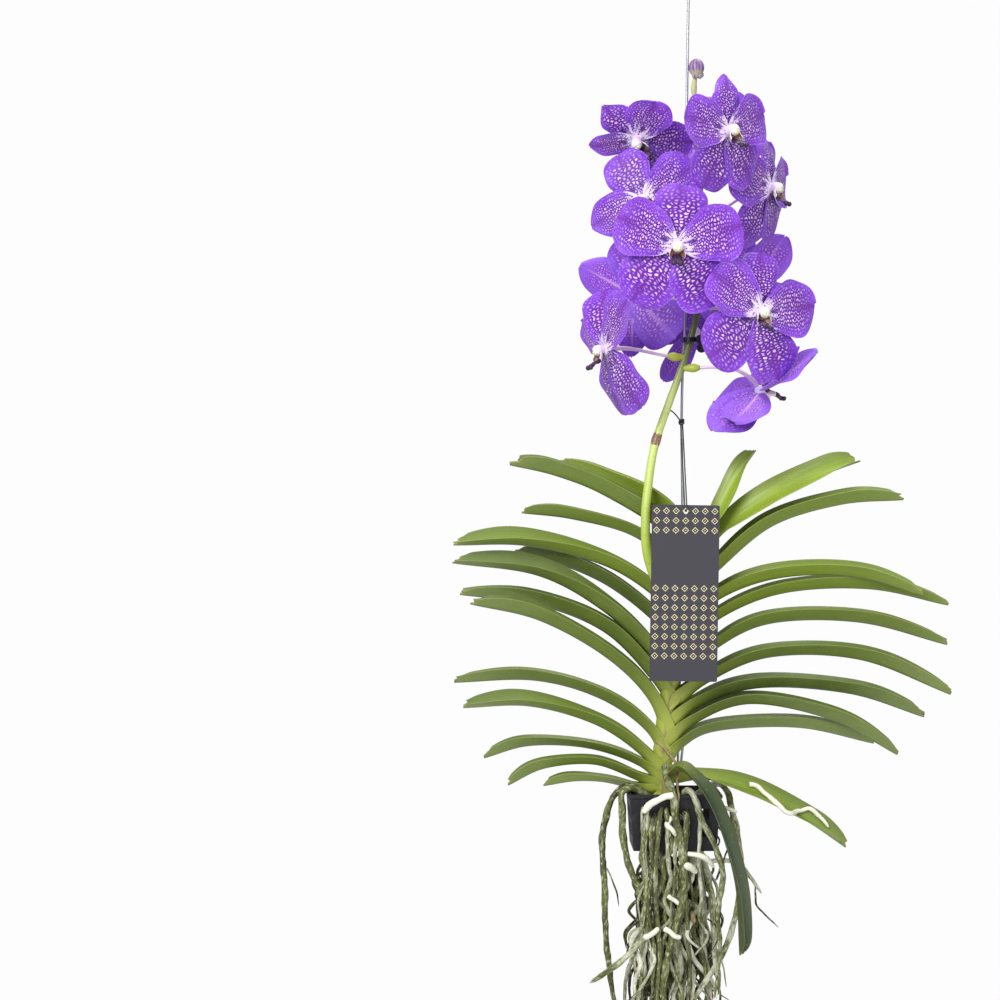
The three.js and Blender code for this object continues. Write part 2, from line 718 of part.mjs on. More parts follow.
// A leaf, or with extra, the room that it needs.
function leafSolid(leaf, extra) {
  const side = Math.sign(leaf.keel[4][0] - leaf.keel[0][0]);
  const keel = new THREE.CatmullRomCurve3(
    leaf.keel.map(([x, z], i) => new THREE.Vector3(x, leaf.depths?.[i] ?? leaf.depth * (i / 4) ** 2, z)),
    false,
    'catmullrom',
    0.5,
  );
  const upper = [];
  const lower = [];
  for (const share of leafForm.rows) {
    const along = keel.getTangent(share);
    const across = back.clone().multiplyScalar(side);
    across.addScaledVector(along, -across.dot(along)).normalize();
    const normal = along.clone().cross(across);
    const twist = (leaf.twist ?? 0) * smooth(share, ...leafForm.twisting);
    const roll = degrees(leaf.roll * smooth(share, 0, leafForm.rolled) + twist) * side;
    const tilted = across.clone().multiplyScalar(Math.cos(roll)).addScaledVector(normal, Math.sin(roll));
    const raised = normal.clone().multiplyScalar(Math.cos(roll)).addScaledVector(across, -Math.sin(roll));
    const opening = mix(leafForm.baseFold, leaf.fold, smooth(share, 0, leafForm.opened));
    const fold = degrees(mix(opening, leafForm.tipFold, smooth(share, ...leafForm.closing)));
    const tipPart = Math.max(share - leafForm.tipStart, 0) / (1 - leafForm.tipStart);
    const taper = mix(1, leafForm.tipShare, tipPart ** 2);
    const widening = mix(leafForm.baseShare, 1, smooth(share, 0, leafForm.widened));
    const half = leaf.half * widening * taper + extra;
    const tooth = share === 1 ? leafForm.tooth : 0;
    const centre = keel.getPoint(share);
    const margin = (sign, reach) => centre.clone()
      .addScaledVector(tilted, sign * half * Math.cos(fold))
      .addScaledVector(raised, half * Math.sin(fold))
      .addScaledVector(along, reach);
    const near = margin(-side, -tooth);
    const far = margin(side, -tooth);
    const row = side > 0 ? [near, centre, far] : [far, centre, near];
    upper.push(row.map((point) => point.clone().addScaledVector(raised, extra)));
    lower.push(row.map((point) => point.clone().addScaledVector(raised, -leafForm.thickness - extra)));
  }
  return toSolid(bladeGeometry(upper, lower));
}

// Blooms: five tepals round a small hub, on a pedicel that starts inside the spike

// Width of a tepal along its length, from 0 to 1: the widest place is worked out from the exponents.
function tepalWidth(share, bluntness) {
  const { broadening } = tepalForm;
  const widest = broadening / (broadening + bluntness);
  const form = (u) => u ** broadening * (1 - u) ** bluntness;
  return form(share) / form(widest);
}

function tepalSolid(tepal, bloom) {
  const own = {
    turn: 0, sweep: 0, twist: 0, length: 1, width: 1, bluntness: tepalForm.bluntness,
    ...bloom.own?.[tepal.name],
  };
  const length = bloom.size * tepal.length * own.length;
  const fullHalf = (bloom.size * tepal.width * own.width) / 2;
  const turn = degrees(tepal.angle + own.turn);
  const lean = degrees(bloom.sweep + own.sweep);
  const outward = new THREE.Vector3(
    Math.cos(turn) * Math.cos(lean), Math.sin(turn) * Math.cos(lean), -Math.sin(lean),
  );
  const across = new THREE.Vector3(-Math.sin(turn), Math.cos(turn), 0)
    .applyAxisAngle(outward, degrees(own.twist));
  const face = outward.clone().cross(across);
  const start = new THREE.Vector3(0, 0, tepal.start);
  const upper = tepalForm.rows.map((share) => tepalForm.columns.map((column) => {
    const half = tepalForm.claw + (fullHalf - tepalForm.claw) * tepalWidth(share, own.bluntness);
    const height = length * (tepal.rise * share - tepal.fall * share * share)
      - tepal.curl * column * column * half;
    return start.clone()
      .addScaledVector(outward, length * share)
      .addScaledVector(across, half * column)
      .addScaledVector(face, height);
  }));
  const lower = upper.map((row) => (
    row.map((point) => point.clone().addScaledVector(face, -tepalForm.thickness))
  ));
  return toSolid(bladeGeometry(upper, lower));
}

function bloomMatrix(bloom) {
  const turn = degrees(bloom.azimuth);
  const tip = degrees(bloom.elevation);
  const roll = degrees(bloom.roll);
  const out = new THREE.Vector3(
    Math.sin(turn) * Math.cos(tip), -Math.cos(turn) * Math.cos(tip), Math.sin(tip),
  );
  const level = up.clone().cross(out).normalize();
  const dorsal = out.clone().cross(level);
  const right = level.clone().multiplyScalar(Math.cos(roll)).addScaledVector(dorsal, Math.sin(roll));
  const top = out.clone().cross(right);
  return new THREE.Matrix4().makeBasis(right, top, out).setPosition(vector(bloom.centre));
}

const spikeCurve = new THREE.CatmullRomCurve3(spike.axis.map(vector), false, 'catmullrom', 0.5);

function spikePointAt(height) {
  const points = spikeCurve.getPoints(200);
  return points.find((point) => point.z >= height);
}

function pedicelCurve(bloom) {
  const foot = spikePointAt(bloom.foot);
  const hub = vector(bloom.centre);
  const out = new THREE.Vector3().setFromMatrixColumn(bloomMatrix(bloom), 2);
  const span = foot.distanceTo(hub);
  const away = bloom.leaving ? vector(bloom.leaving) : hub.clone().sub(foot).setZ(0).normalize();
  return new THREE.CubicBezierCurve3(
    foot,
    foot.clone().addScaledVector(away, pedicel.away * span),
    hub.clone().addScaledVector(out, -pedicel.home * span),
    hub.clone().addScaledVector(out, heart.hubBack + 1),
  );
}

function heartSolid() {
  const column = toSolid(tubeGeometry(heart.column.map(vector), heart.columnRadii, 6));
  const strap = (line, halves, thickness, across) => {
    const upper = line.map((xyz, i) => (
      [-1, 1].map((edge) => vector(xyz).addScaledVector(across, edge * halves[i]))
    ));
    const along = vector(line.at(-1)).sub(vector(line[0])).normalize();
    const normal = along.cross(across);
    const lower = upper.map((row) => row.map((point) => point.clone().addScaledVector(normal, -thickness)));
    return toSolid(bladeGeometry(upper, lower));
  };
  const lip = strap(heart.lip, heart.lipHalf, heart.lipThickness, new THREE.Vector3(1, 0, 0));
  const ears = [-1, 1].map((sign) => {
    const mirrored = ([x, y, z]) => [sign * x, y, z];
    const across = new THREE.Vector3(0, 1, 0);
    return strap([heart.earStart, heart.earEnd].map(mirrored), heart.earHalf, heart.earThickness, across);
  });
  return joined([column, lip, ...ears]);
}

// Spike: the flower stalk with its scar ring and a bract at the foot of each pedicel

function spikeSolid(extra) {
  const points = spikeCurve.getPoints(spike.steps);
  const radii = points.map((point, i) => {
    const scar = Math.abs(point.z - spike.scarHeight) < spike.scarBand ? spike.scarProud : 0;
    return mix(...spike.radii, i / spike.steps) + scar + extra;
  });
  const stalk = toSolid(tubeGeometry(points, radii, spike.sides));
  const bracts = blooms.map((bloom) => {
    const curve = pedicelCurve(bloom);
    const reach = (spike.radii[0] + bloom.bract + extra) / curve.getLength();
    const along = [0, spike.bractBelly * reach, reach].map((share) => curve.getPointAt(share));
    const girth = spike.bractGirth.map((share) => share * spike.bractRadius + extra);
    return toSolid(tubeGeometry(along, girth, 5));
  });
  return joined([stalk, ...bracts]);
}

// Roots: the crown, the routes that show, and a seeded mass that hangs through the basket's floor

function seededRandom(seed) {
  let state = seed;
  return () => {
    state = (state * 1664525 + 1013904223) % 4294967296;
    return state / 4294967296;
  };
}

function rootSolid(route, radius, steps) {
  const points = smoothPoints(route, steps);
  const radii = points.map((point, i) => radius * mix(1, rootForm.tipShare, (i / steps) ** rootForm.taper));
  return toSolid(tubeGeometry(points, radii, rootForm.sides));
}

function innerRootRoute(random, index) {
  const [x, y] = basket.centre;
  const [crownX, , crownZ] = rootForm.crown.centre;
  const quarterX = index % 2 === 0 ? -1 : 1;
  const quarterY = index % 4 < 2 ? -1 : 1;
  const jitter = (size) => size * (2 * random() - 1);
  const { start, gatePlay, hang, shoulder, spread, wander } = innerRoots;
  const gate = [
    x + quarterX * innerRoots.gate + jitter(gatePlay),
    y + quarterY * innerRoots.gate + jitter(gatePlay),
  ];
  const foot = [x + quarterX * hang[0] + jitter(spread[0]), quarterY * hang[1] + jitter(spread[1])];
  const bottom = mix(...innerRoots.bottom, random());
  const route = [
    [crownX + quarterX * start, quarterY * start, crownZ],
    [mix(crownX, gate[0], 0.7), mix(0, gate[1], 0.7), crownZ - shoulder],
    [...gate, -basket.height],
  ];
  const below = 4;
  for (let n = 1; n <= below; n += 1) {
    const share = n / below;
    route.push([
      mix(gate[0], foot[0], share) + jitter(wander),
      mix(gate[1], foot[1], share) + jitter(wander),
      mix(-basket.height, bottom, share),
    ]);
  }
  return route;
}

function rootsSolid() {
  const { centre, radii } = rootForm.crown;
  const crown = toSolid(new THREE.SphereGeometry(1, 8, 6).scale(...radii).translate(...centre));
  const random = seededRandom(innerRoots.seed);
  const inner = Array.from({ length: innerRoots.count }, (_, n) => (
    rootSolid(innerRootRoute(random, n), mix(...innerRoots.radius, random()), innerRoots.steps)
  ));
  const shown = [...outerRoots, ...strayRoots].map(({ route, radius }) => (
    rootSolid(route, radius, Math.round(rootForm.stepsPerPoint * route.length))
  ));
  return joined([crown, ...inner, ...shown]);
}

// Tag, its cord, the knot that ties it to the wire, and the clip that holds the spike

function tagGeometry() {
  const { width, height, corner, holeRadius, holeDrop, thickness } = tag;
  const outline = new THREE.Shape()
    .moveTo(corner - width / 2, 0)
    .lineTo(width / 2 - corner, 0)
    .quadraticCurveTo(width / 2, 0, width / 2, -corner)
    .lineTo(width / 2, corner - height)
    .quadraticCurveTo(width / 2, -height, width / 2 - corner, -height)
    .lineTo(corner - width / 2, -height)
    .quadraticCurveTo(-width / 2, -height, -width / 2, corner - height)
    .lineTo(-width / 2, -corner)
    .quadraticCurveTo(-width / 2, 0, corner - width / 2, 0);
  outline.holes.push(new THREE.Path().absarc(0, -holeDrop, holeRadius, 0, 2 * Math.PI));
  return new THREE.ExtrudeGeometry(outline, {
    depth: thickness,
    bevelEnabled: false,
    curveSegments: 4,
  }).rotateX(Math.PI / 2);
}

function cordRoute() {
  const turn = degrees(tag.turn);
  const hole = new THREE.Vector3(
    tag.top[0] - tag.holeDrop * Math.sin(turn), tag.top[1] - tag.thickness / 2, tag.top[2] - tag.holeDrop,
  );
  const { loopReach, loopRise, loopLean, strandGap } = tagCord;
  const start = vector(tagCord.knot);
  const shift = new THREE.Vector3(strandGap / 2, 0, 0);
  const frontTop = hole.clone().add(new THREE.Vector3(loopLean, -loopReach, loopRise));
  const backTop = hole.clone().add(new THREE.Vector3(-loopLean, loopReach, loopRise));
  const pull = (from, to, share) => from.clone().lerp(to, share);
  const startFront = start.clone().add(shift);
  const startBack = start.clone().sub(shift);
  return [
    startFront,
    pull(startFront, frontTop, 0.35),
    pull(startFront, frontTop, 0.7),
    frontTop,
    hole.clone().add(new THREE.Vector3(loopLean / 2, -0.75 * loopReach, loopRise / 4)),
    hole,
    hole.clone().add(new THREE.Vector3(-loopLean / 2, 0.75 * loopReach, loopRise / 4)),
    backTop,
    pull(backTop, startBack, 0.3),
    pull(backTop, startBack, 0.65),
    startBack,
  ];
}

function cordGeometry() {
  const section = new THREE.Shape();
  for (let k = 0; k < tagCord.sides; k += 1) {
    const turn = (2 * Math.PI * k) / tagCord.sides;
    const corner = [tagCord.radius * Math.cos(turn), tagCord.radius * Math.sin(turn)];
    if (k === 0) section.moveTo(...corner);
    else section.lineTo(...corner);
  }
  section.closePath();
  const extrudePath = new THREE.CatmullRomCurve3(cordRoute());
  return new THREE.ExtrudeGeometry(section, { steps: tagCord.steps, bevelEnabled: false, extrudePath });
}

function knotSolid() {
  const { centre, height, radii, arm, armRadius } = knot;
  const body = toSolid(
    new THREE.CylinderGeometry(...radii, height, 8).rotateX(Math.PI / 2).translate(...centre),
  );
  const armTube = toSolid(tubeGeometry(arm.map(vector), arm.map(() => armRadius), 6));
  return joined([body, armTube]);
}

function clipSolid() {
  const { height, band, thickness, inside, reach, shift, arcSegments, knobRadius, knobDepth, knobs } = clip;
  const stalk = spikePointAt(height);
  const oval = (half) => {
    const shape = new THREE.Shape();
    shape.absarc(0, reach[0], half, Math.PI, 2 * Math.PI);
    shape.absarc(0, reach[1], half, 0, Math.PI);
    return shape;
  };
  const extruded = (shape) => toSolid(new THREE.ExtrudeGeometry(
    shape, { depth: band, bevelEnabled: false, curveSegments: arcSegments },
  ).translate(stalk.x + shift, stalk.y, height - band / 2));
  const loop = extruded(oval(inside + thickness)).subtract(extruded(oval(inside)));
  const pads = knobs.map((centre) => toSolid(
    new THREE.CylinderGeometry(knobRadius, knobRadius, knobDepth, 10).translate(...centre),
  ));
  return joined([loop, ...pads]);
}

function budSolid() {
  const { centre, radius, length, nose, foot, stalkRadius } = bud;
  const body = toSolid(new THREE.SphereGeometry(radius, 8, 6).scale(1, 1, length).translate(...centre));
  const lip = toSolid(
    new THREE.SphereGeometry(nose.radius, 6, 5).translate(...nose.offset).translate(...centre),
  );
  const stalk = smoothPoints([foot, ...bud.stalk, centre], 6);
  const stalkSolid = toSolid(tubeGeometry(stalk, stalk.map(() => stalkRadius), 6));
  return joined([body, lip, stalkSolid]);
}

// Assembly

const orchid = new THREE.Group();
orchid.position.z = -hookHeight;

function addMesh(parent, name, geometry, paint) {
  const mesh = new THREE.Mesh(geometry, new THREE.MeshStandardMaterial(paints[paint]));
  mesh.name = name;
  parent.add(mesh);
  return mesh;
}

// The mesh's own origin is moved to its seat, so that it is placed by its position.
function addSeated(name, solid, paint, seat) {
  const geometry = toGeometry(solid).translate(-seat[0], -seat[1], -seat[2]);
  addMesh(orchid, name, geometry, paint).position.set(...seat);
}

const wireClear = wireSolid(fitGap);
const stemClear = stemSolid(fitGap);
const spikeClear = spikeSolid(fitGap);
const basketClear = basketSolid(fitGap);

addSeated('basket', basketSolid(0), 'blackPlastic', [...basket.centre, 0]);
// One bent wire in two solids, so that the collision hulls of its hook leave the throat open
const bentWire = wireSolid(0);
const hook = bentWire.trimByPlane([0, 0, 1], wire.hookFoot);
const straight = bentWire.trimByPlane([0, 0, -1], wire.hookSeam - wire.hookFoot);
addSeated('hanger_hook', hook, 'wireSteel', [0, 0, hookHeight]);
addSeated('hanger_wire', straight, 'wireSteel', [0, 0, wire.hookFoot]);
addSeated('stem', stemSolid(0), 'stemGreen', [stem.axis[0][0], 0, stem.foot]);
const roots = mainPiece(rootsSolid().subtract(basketClear).subtract(stemClear));
addSeated('roots', roots, 'rootGrey', rootForm.crown.centre);
addSeated('flower_spike', mainPiece(spikeSolid(0).subtract(stemClear)), 'spikeGreen', spike.axis[0]);

// Lower leaves clasp the stem outside the bases of the leaves above them.
const claimed = [];
const byHeight = [...leaves].sort((a, b) => a.keel[0][1] - b.keel[0][1]);
for (const leaf of byHeight) {
  const clearances = [stemClear, spikeClear, ...claimed.slice(-leafForm.clasping)];
  const blade = mainPiece(clearances.reduce((rest, next) => rest.subtract(next), leafSolid(leaf, 0)));
  claimed.push(leafSolid(leaf, fitGap));
  addSeated(leaf.name, blade, 'leafGreen', [leaf.keel[0][0], 0, leaf.keel[0][1]]);
}

const hub = toSolid(new THREE.CylinderGeometry(
  heart.hubRadius, heart.hubRadius, heart.hubFront - heart.hubBack, 8,
).rotateX(Math.PI / 2).translate(0, 0, (heart.hubFront + heart.hubBack) / 2));

for (const bloom of blooms) {
  const matrix = bloomMatrix(bloom);
  const inverse = matrix.clone().invert();
  const group = new THREE.Group();
  group.applyMatrix4(matrix);
  orchid.add(group);
  const stalk = pedicelCurve(bloom).getPoints(pedicel.steps).map((point) => point.applyMatrix4(inverse));
  const stalkSolid = toSolid(tubeGeometry(stalk, stalk.map(() => pedicel.radius), pedicel.sides));
  const whorl = tepals.map((tepal) => tepalSolid(tepal, bloom));
  const flower = joined([hub, stalkSolid, ...whorl]);
  const cleared = mainPiece(flower.subtract(spikeClear.transform(inverse.elements)));
  addMesh(group, bloom.name, toGeometry(cleared), 'tepalViolet');
  addMesh(group, `${bloom.name}_lip`, toGeometry(heartSolid()), 'heartCream');
}

addSeated('bud', mainPiece(budSolid().subtract(spikeClear)), 'budMauve', bud.foot);

const tagMesh = addMesh(orchid, 'tag', tagGeometry(), 'tagCharcoal');
tagMesh.position.set(...tag.top);
tagMesh.rotation.y = degrees(tag.turn);
addMesh(orchid, 'tag_cord', cordGeometry(), 'cordBlack');

const knotPiece = mainPiece(knotSolid().subtract(wireClear).subtract(spikeClear));
addSeated('cord_knot', knotPiece, 'cordBlack', knot.centre);
const clipPiece = mainPiece(clipSolid().subtract(wireClear).subtract(spikeClear));
addSeated('stem_clip', clipPiece, 'blackPlastic', [0, 0, clip.height]);

export default orchid;
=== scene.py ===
# Vanda orchid in flower, bare-rooted in a small slatted basket that hangs from a stiff wire.
# Lengths are millimetres from the basket's rim and become metres when a piece is built.
import math
import bpy
import bmesh
import numpy as np
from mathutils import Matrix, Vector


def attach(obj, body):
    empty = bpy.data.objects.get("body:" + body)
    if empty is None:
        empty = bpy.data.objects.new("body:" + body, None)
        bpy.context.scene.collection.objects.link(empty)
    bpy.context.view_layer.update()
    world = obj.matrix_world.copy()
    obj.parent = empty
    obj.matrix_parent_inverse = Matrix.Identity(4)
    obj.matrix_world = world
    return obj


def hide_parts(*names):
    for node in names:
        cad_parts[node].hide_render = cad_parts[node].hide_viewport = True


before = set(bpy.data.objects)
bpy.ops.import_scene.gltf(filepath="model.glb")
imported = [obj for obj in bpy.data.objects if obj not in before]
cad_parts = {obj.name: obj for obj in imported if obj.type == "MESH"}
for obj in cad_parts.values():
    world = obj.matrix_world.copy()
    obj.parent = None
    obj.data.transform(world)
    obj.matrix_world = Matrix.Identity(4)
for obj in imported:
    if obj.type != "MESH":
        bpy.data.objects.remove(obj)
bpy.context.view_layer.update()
rimHeight = -0.726  # the basket's rim, below the inside top of the hook
up = np.array([0.0, 0.0, 1.0])
back = np.array([0.0, 1.0, 0.0])


def toFrame(points):
    return np.asarray(points, float) * 0.001 + (0, 0, rimHeight)


def toLinear(colour):
    channels = [int(colour[i:i + 2], 16) / 255 for i in (1, 3, 5)]
    return [c / 12.92 if c <= 0.04045 else ((c + 0.055) / 1.055) ** 2.4 for c in channels] + [1]


def smoothStep(low, high, value):
    t = np.clip((np.asarray(value, float) - low) / (high - low), 0, 1)
    return t * t * (3 - 2 * t)


def mix(a, b, share):
    return a + (b - a) * share


def unit(v):
    return v / np.linalg.norm(v)


# Numbers and arrays as the parts of one array of vectors
def stacked(*parts):
    return np.stack(np.broadcast_arrays(*parts), -1)


def fullTurn(count):
    return 2 * np.pi * np.arange(count) / count


def addObject(name, data):
    added = bpy.data.objects.new(name, data)
    bpy.context.collection.objects.link(added)
    return added


# A socket takes a value, a colour as text, a node's first output or one output of it.
def feed(tree, socket, value):
    if isinstance(value, str):
        value = toLinear(value)
    if isinstance(value, bpy.types.Node):
        value = next(output for output in value.outputs if output.enabled)
    if isinstance(value, bpy.types.NodeSocket):
        tree.links.new(value, socket)
    else:
        socket.default_value = value


def addNode(tree, kind, sockets=None, **options):
    node = tree.nodes.new("ShaderNode" + kind)
    for option, value in options.items():
        setattr(node, option, value)
    for socket, value in (sockets or {}).items():
        feed(tree, node.inputs[socket], value)
    return node


# A material with its node tree, and short forms of the nodes that most finishes need
class Finish:
    def __init__(self, name, **sockets):
        self.material = bpy.data.materials.new(name)
        self.material.use_nodes = True
        self.tree = self.material.node_tree
        self.link(**sockets)

    def link(self, **sockets):
        inputs = self.tree.nodes["Principled BSDF"].inputs
        for socket, value in sockets.items():
            feed(self.tree, inputs[socket.replace("_", " ")], value)

    def add(self, kind, sockets=None, **options):
        return addNode(self.tree, kind, sockets, **options)

    def vector(self, attribute):
        return self.add("Attribute", attribute_name=attribute).outputs["Vector"]

    def onObject(self):
        return self.add("TexCoord").outputs["Object"]

    def parts(self, vector):
        return self.add("SeparateXYZ", {0: vector}).outputs

    def join(self, *values):
        return self.add("CombineXYZ", dict(enumerate(values)))

    def stretched(self, vector, *scale):
        return self.add("Mapping", {"Vector": vector, "Scale": scale})

    def noise(self, where, scale, detail, **sockets):
        return self.add("TexNoise", {"Vector": where, "Scale": scale, "Detail": detail, **sockets})

    def maths(self, operation, *values):
        return self.add("Math", dict(enumerate(values)), operation=operation)

    def product(self, a, b):
        return self.maths("MULTIPLY", a, b)

    def difference(self, a, b):
        return self.maths("SUBTRACT", a, b)

    # Turns what lies between low and high into what lies between start and end
    def ramp(self, value, low=0, high=1, start=0, end=1, kind="LINEAR"):
        return self.add("MapRange", {0: value, 1: low, 2: high, 3: start, 4: end}, interpolation_type=kind)

    def soft(self, *values):
        return self.ramp(*values, kind="SMOOTHSTEP")

    # Lays colours over a base, each as far as its share says
    def coats(self, base, *coats):
        for share, colour in coats:
            base = self.add("Mix", {0: share, 6: base, 7: colour}, data_type="RGBA")
        return base

    def done(self, colour, bump=None, **sockets):
        if bump:
            sockets["Normal"] = self.add("Bump", dict(zip(("Height", "Strength", "Distance"), bump)))
        self.link(Base_Color=colour, **sockets)
        return self.material


# Camera and light

studio = {
    "eye": (-158.3, -2333, 243.6),
    "lens": 100,
    "sensor": 36,
    "farClip": 60,
    "background": "#FDFDFE",
    "ambient": 0.5,
    "floorDrop": 1250,  # below the rim, clear of the roots
    "floorWidth": 5200,
    "paper": ("#EDEDEE", "#F7F7F7"),
    "softboxes": [
        # name, place, aim, width, watts
        ("keySoftbox", (-900, -1500, 1150), (0, 0, 150), 1100, 40),
        ("fillSoftbox", (1500, -1500, 250), (0, 0, 150), 1300, 12),
        ("topSoftbox", (200, 200, 1700), (0, 0, 300), 1000, 20),
    ],
}


def addStudio():
    lens = bpy.data.cameras.new("camera")
    lens.lens = studio["lens"]
    lens.sensor_width = studio["sensor"]
    lens.clip_end = studio["farClip"]
    camera = addObject("camera", lens)
    camera.location = toFrame(studio["eye"])
    camera.rotation_euler = (math.pi / 2, 0, 0)
    bpy.context.scene.camera = camera
    bpy.context.scene.view_settings.view_transform = "Standard"

    for name, place, aim, width, watts in studio["softboxes"]:
        light = bpy.data.lights.new(name, "AREA")
        light.size = width * 0.001
        light.energy = watts
        lamp = addObject(name, light)
        lamp.location = toFrame(place)
        direction = Vector(toFrame(aim) - toFrame(place))
        lamp.rotation_euler = direction.to_track_quat("-Z", "Y").to_euler()

    # The paper sweep behind the plant is lit to white, while the room itself gives a dimmer light.
    world = bpy.data.worlds.new("studio")
    world.use_nodes = True
    tree = world.node_tree
    room = tree.nodes["Background"]
    feed(tree, room.inputs["Color"], studio["background"])
    feed(tree, room.inputs["Strength"], studio["ambient"])
    sweep = addNode(tree, "Background", {"Color": studio["background"], "Strength": 1})
    path = addNode(tree, "LightPath")
    shown = addNode(tree, "MixShader", {0: path.outputs["Is Camera Ray"], 1: room, 2: sweep})
    feed(tree, tree.nodes["World Output"].inputs["Surface"], shown)
    bpy.context.scene.world = world

    half = studio["floorWidth"] / 2
    corners = [(-half, -half), (half, -half), (half, half), (-half, half)]
    mesh = bpy.data.meshes.new("floor")
    mesh.from_pydata([toFrame((x, y, -studio["floorDrop"])) for x, y in corners], [], [(0, 1, 2, 3)])
    floor = addObject("floor", mesh)
    paper = Finish("matt white paper", Roughness=0.9)
    shade, light = studio["paper"]
    fibres = paper.add("TexNoise", {"Scale": 40, "Detail": 4})
    mesh.materials.append(paper.done(paper.coats(shade, (fibres, light))))


addStudio()
print("studio done")


# Curves and skins

# Smooth curve through the points, sampled at shares from 0 to 1.
def splinePoints(route, shares):
    route = np.array(route, float)
    ends = np.vstack([2 * route[0] - route[1], route, 2 * route[-1] - route[-2]])
    place = np.clip(shares, 0, 1) * (len(route) - 1)
    first = np.minimum(np.floor(place).astype(int), len(route) - 2)
    t = (place - first)[:, None]
    a, b, c, d = (ends[first + i] for i in range(4))
    leaving, coming = (c - a) / 2, (d - b) / 2
    cubic = 2 * b - 2 * c + leaving + coming
    square = 3 * c - 3 * b - 2 * leaving - coming
    return cubic * t ** 3 + square * t ** 2 + leaving * t + b


def bezierPoints(a, b, c, d, shares):
    t = np.asarray(shares)[:, None]
    return (1 - t) ** 3 * a + 3 * (1 - t) ** 2 * t * b + 3 * (1 - t) * t ** 2 * c + t ** 3 * d


def lengthsAlong(points):
    return np.concatenate([[0], np.cumsum(np.linalg.norm(np.diff(points, axis=0), axis=1))])


# Values spread evenly over a length, read at shares of it
def spreadOver(values, shares):
    return np.interp(shares * (len(values) - 1), range(len(values)), values)


# Rings round a line. Radii is one for each point, or one for each point and side.
def tubeRings(points, radii, sides, flatten=1.0):
    points = np.asarray(points, float)
    radii = np.asarray(radii, float)
    if radii.ndim == 1:
        radii = np.repeat(radii[:, None], sides, 1)
    tangents = np.gradient(points, axis=0)
    side = up if abs(unit(tangents[0])[1]) > 0.9 else back
    turns = fullTurn(sides)
    rings = []
    for point, tangent, girth in zip(points, tangents, radii):
        tangent = unit(tangent)
        side = unit(side - side.dot(tangent) * tangent)
        other = np.cross(tangent, side)
        ring = np.outer(girth * np.cos(turns), side) + np.outer(girth * flatten * np.sin(turns), other)
        rings.append(point + ring)
    return np.array(rings)


# Rings of a blob, from its foot to its top
def blobRings(centre, radii, rows=11, sides=16):
    polar = np.linspace(0.06, np.pi - 0.06, rows)[::-1, None]
    turns = fullTurn(sides)
    wide, deep, high = radii
    return np.array(centre) + stacked(
        wide * np.sin(polar) * np.cos(turns), deep * np.sin(polar) * np.sin(turns), high * np.cos(polar),
    )


# A blade's rings run over its upper face and back under the lower one.
def bothFaces(upper, lower):
    return np.concatenate([upper, lower[:, ::-1]], 1)


# Place is along, across and share of the length. Trait is free for each kind of part.
def skin(rings, paint=0, place=None, trait=(0, 1, 0), strip=False):
    rows, count = rings.shape[:2]
    if place is None:
        along = lengthsAlong(rings.mean(1))
        around = np.linalg.norm(rings - rings.mean(1, keepdims=True), axis=2) * fullTurn(count)
        place = stacked(along[:, None], around, along[:, None] / max(along[-1], 1e-6))
    place, trait = (np.broadcast_to(np.asarray(values, float), rings.shape) for values in (place, trait))
    i, k = np.meshgrid(np.arange(rows - 1), np.arange(count), indexing="ij")
    here, following = i * count + k, i * count + (k + 1) % count
    quads = stacked(here, following, following + count, here + count).reshape(-1, 4)
    faces = [tuple(quad) for quad in quads.tolist()]
    last = (rows - 1) * count
    if strip:  # a blade's ends are closed from its upper to its lower face
        for j in range(count // 2 - 1):
            end = (j, j + 1, count - 2 - j, count - 1 - j)
            faces.append(tuple(last + n for n in end))
            faces.append(tuple(reversed(end)))
    else:
        faces.append(tuple(range(last, last + count)))
        faces.append(tuple(reversed(range(count))))
    return {"rings": rings, "faces": faces, "paint": paint, "place": place, "trait": trait}


# Joins skins into one piece, which rides on the plant and stands for its CAD node.
def buildPiece(name, skins, materials, slotName, *nodes):
    corners, faces, paints = [], [], []
    for part in skins:
        first = sum(len(c) for c in corners)
        corners.append(part["rings"].reshape(-1, 3))
        faces += [tuple(first + n for n in face) for face in part["faces"]]
        paints += [part["paint"]] * len(part["faces"])
    mesh = bpy.data.meshes.new(name)
    mesh.from_pydata(toFrame(np.vstack(corners)), [], faces)
    for material in materials:
        mesh.materials.append(material)
    mesh.polygons.foreach_set("material_index", paints)
    mesh.polygons.foreach_set("use_smooth", [True] * len(faces))
    for label in ("place", "trait"):
        values = np.vstack([part[label].reshape(-1, 3) for part in skins])
        attribute = mesh.attributes.new(label, "FLOAT_VECTOR", "POINT")
        attribute.data.foreach_set("vector", values.astype(np.float32).ravel())
    mesh.update()
    piece = addObject(name, mesh)
    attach(piece, "root")
    if nodes:
        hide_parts(*nodes)
    return piece


# Tag cord

tagCord = {
    "diameter": 1.1,
    "knot": (-5.2, 8.6, 307.5),
    "strandGap": 1.7,
    "loopReach": 3,
    "loopRise": 3.5,
    "loopLean": 0.6,
    # The cord's black, and the painted highlight on its twist
    "black": ("#17171A", "#3A3A40"),
    "twist": 3,  # mm, drawn coarser than the real thread
}
tag = {
    "top": (-4.5, -35, 239.5),
    "turn": 0.9,
    "holeDrop": 5.5,
    "thickness": 0.8,
}


# Braided polyester cord: matt black, with a fine twist whose lighter bands are a painted highlight.
def cordMaterial():
    m = Finish("braided polyester cord", Roughness=0.75)
    dark, light = tagCord["black"]
    twist = m.add("TexWave", {0: m.onObject(), "Scale": 1000 / tagCord["twist"], "Distortion": 2},
                  bands_direction="DIAGONAL")
    return m.done(m.coats(dark, (twist, light)), bump=(twist, 0.5, 0.0002))


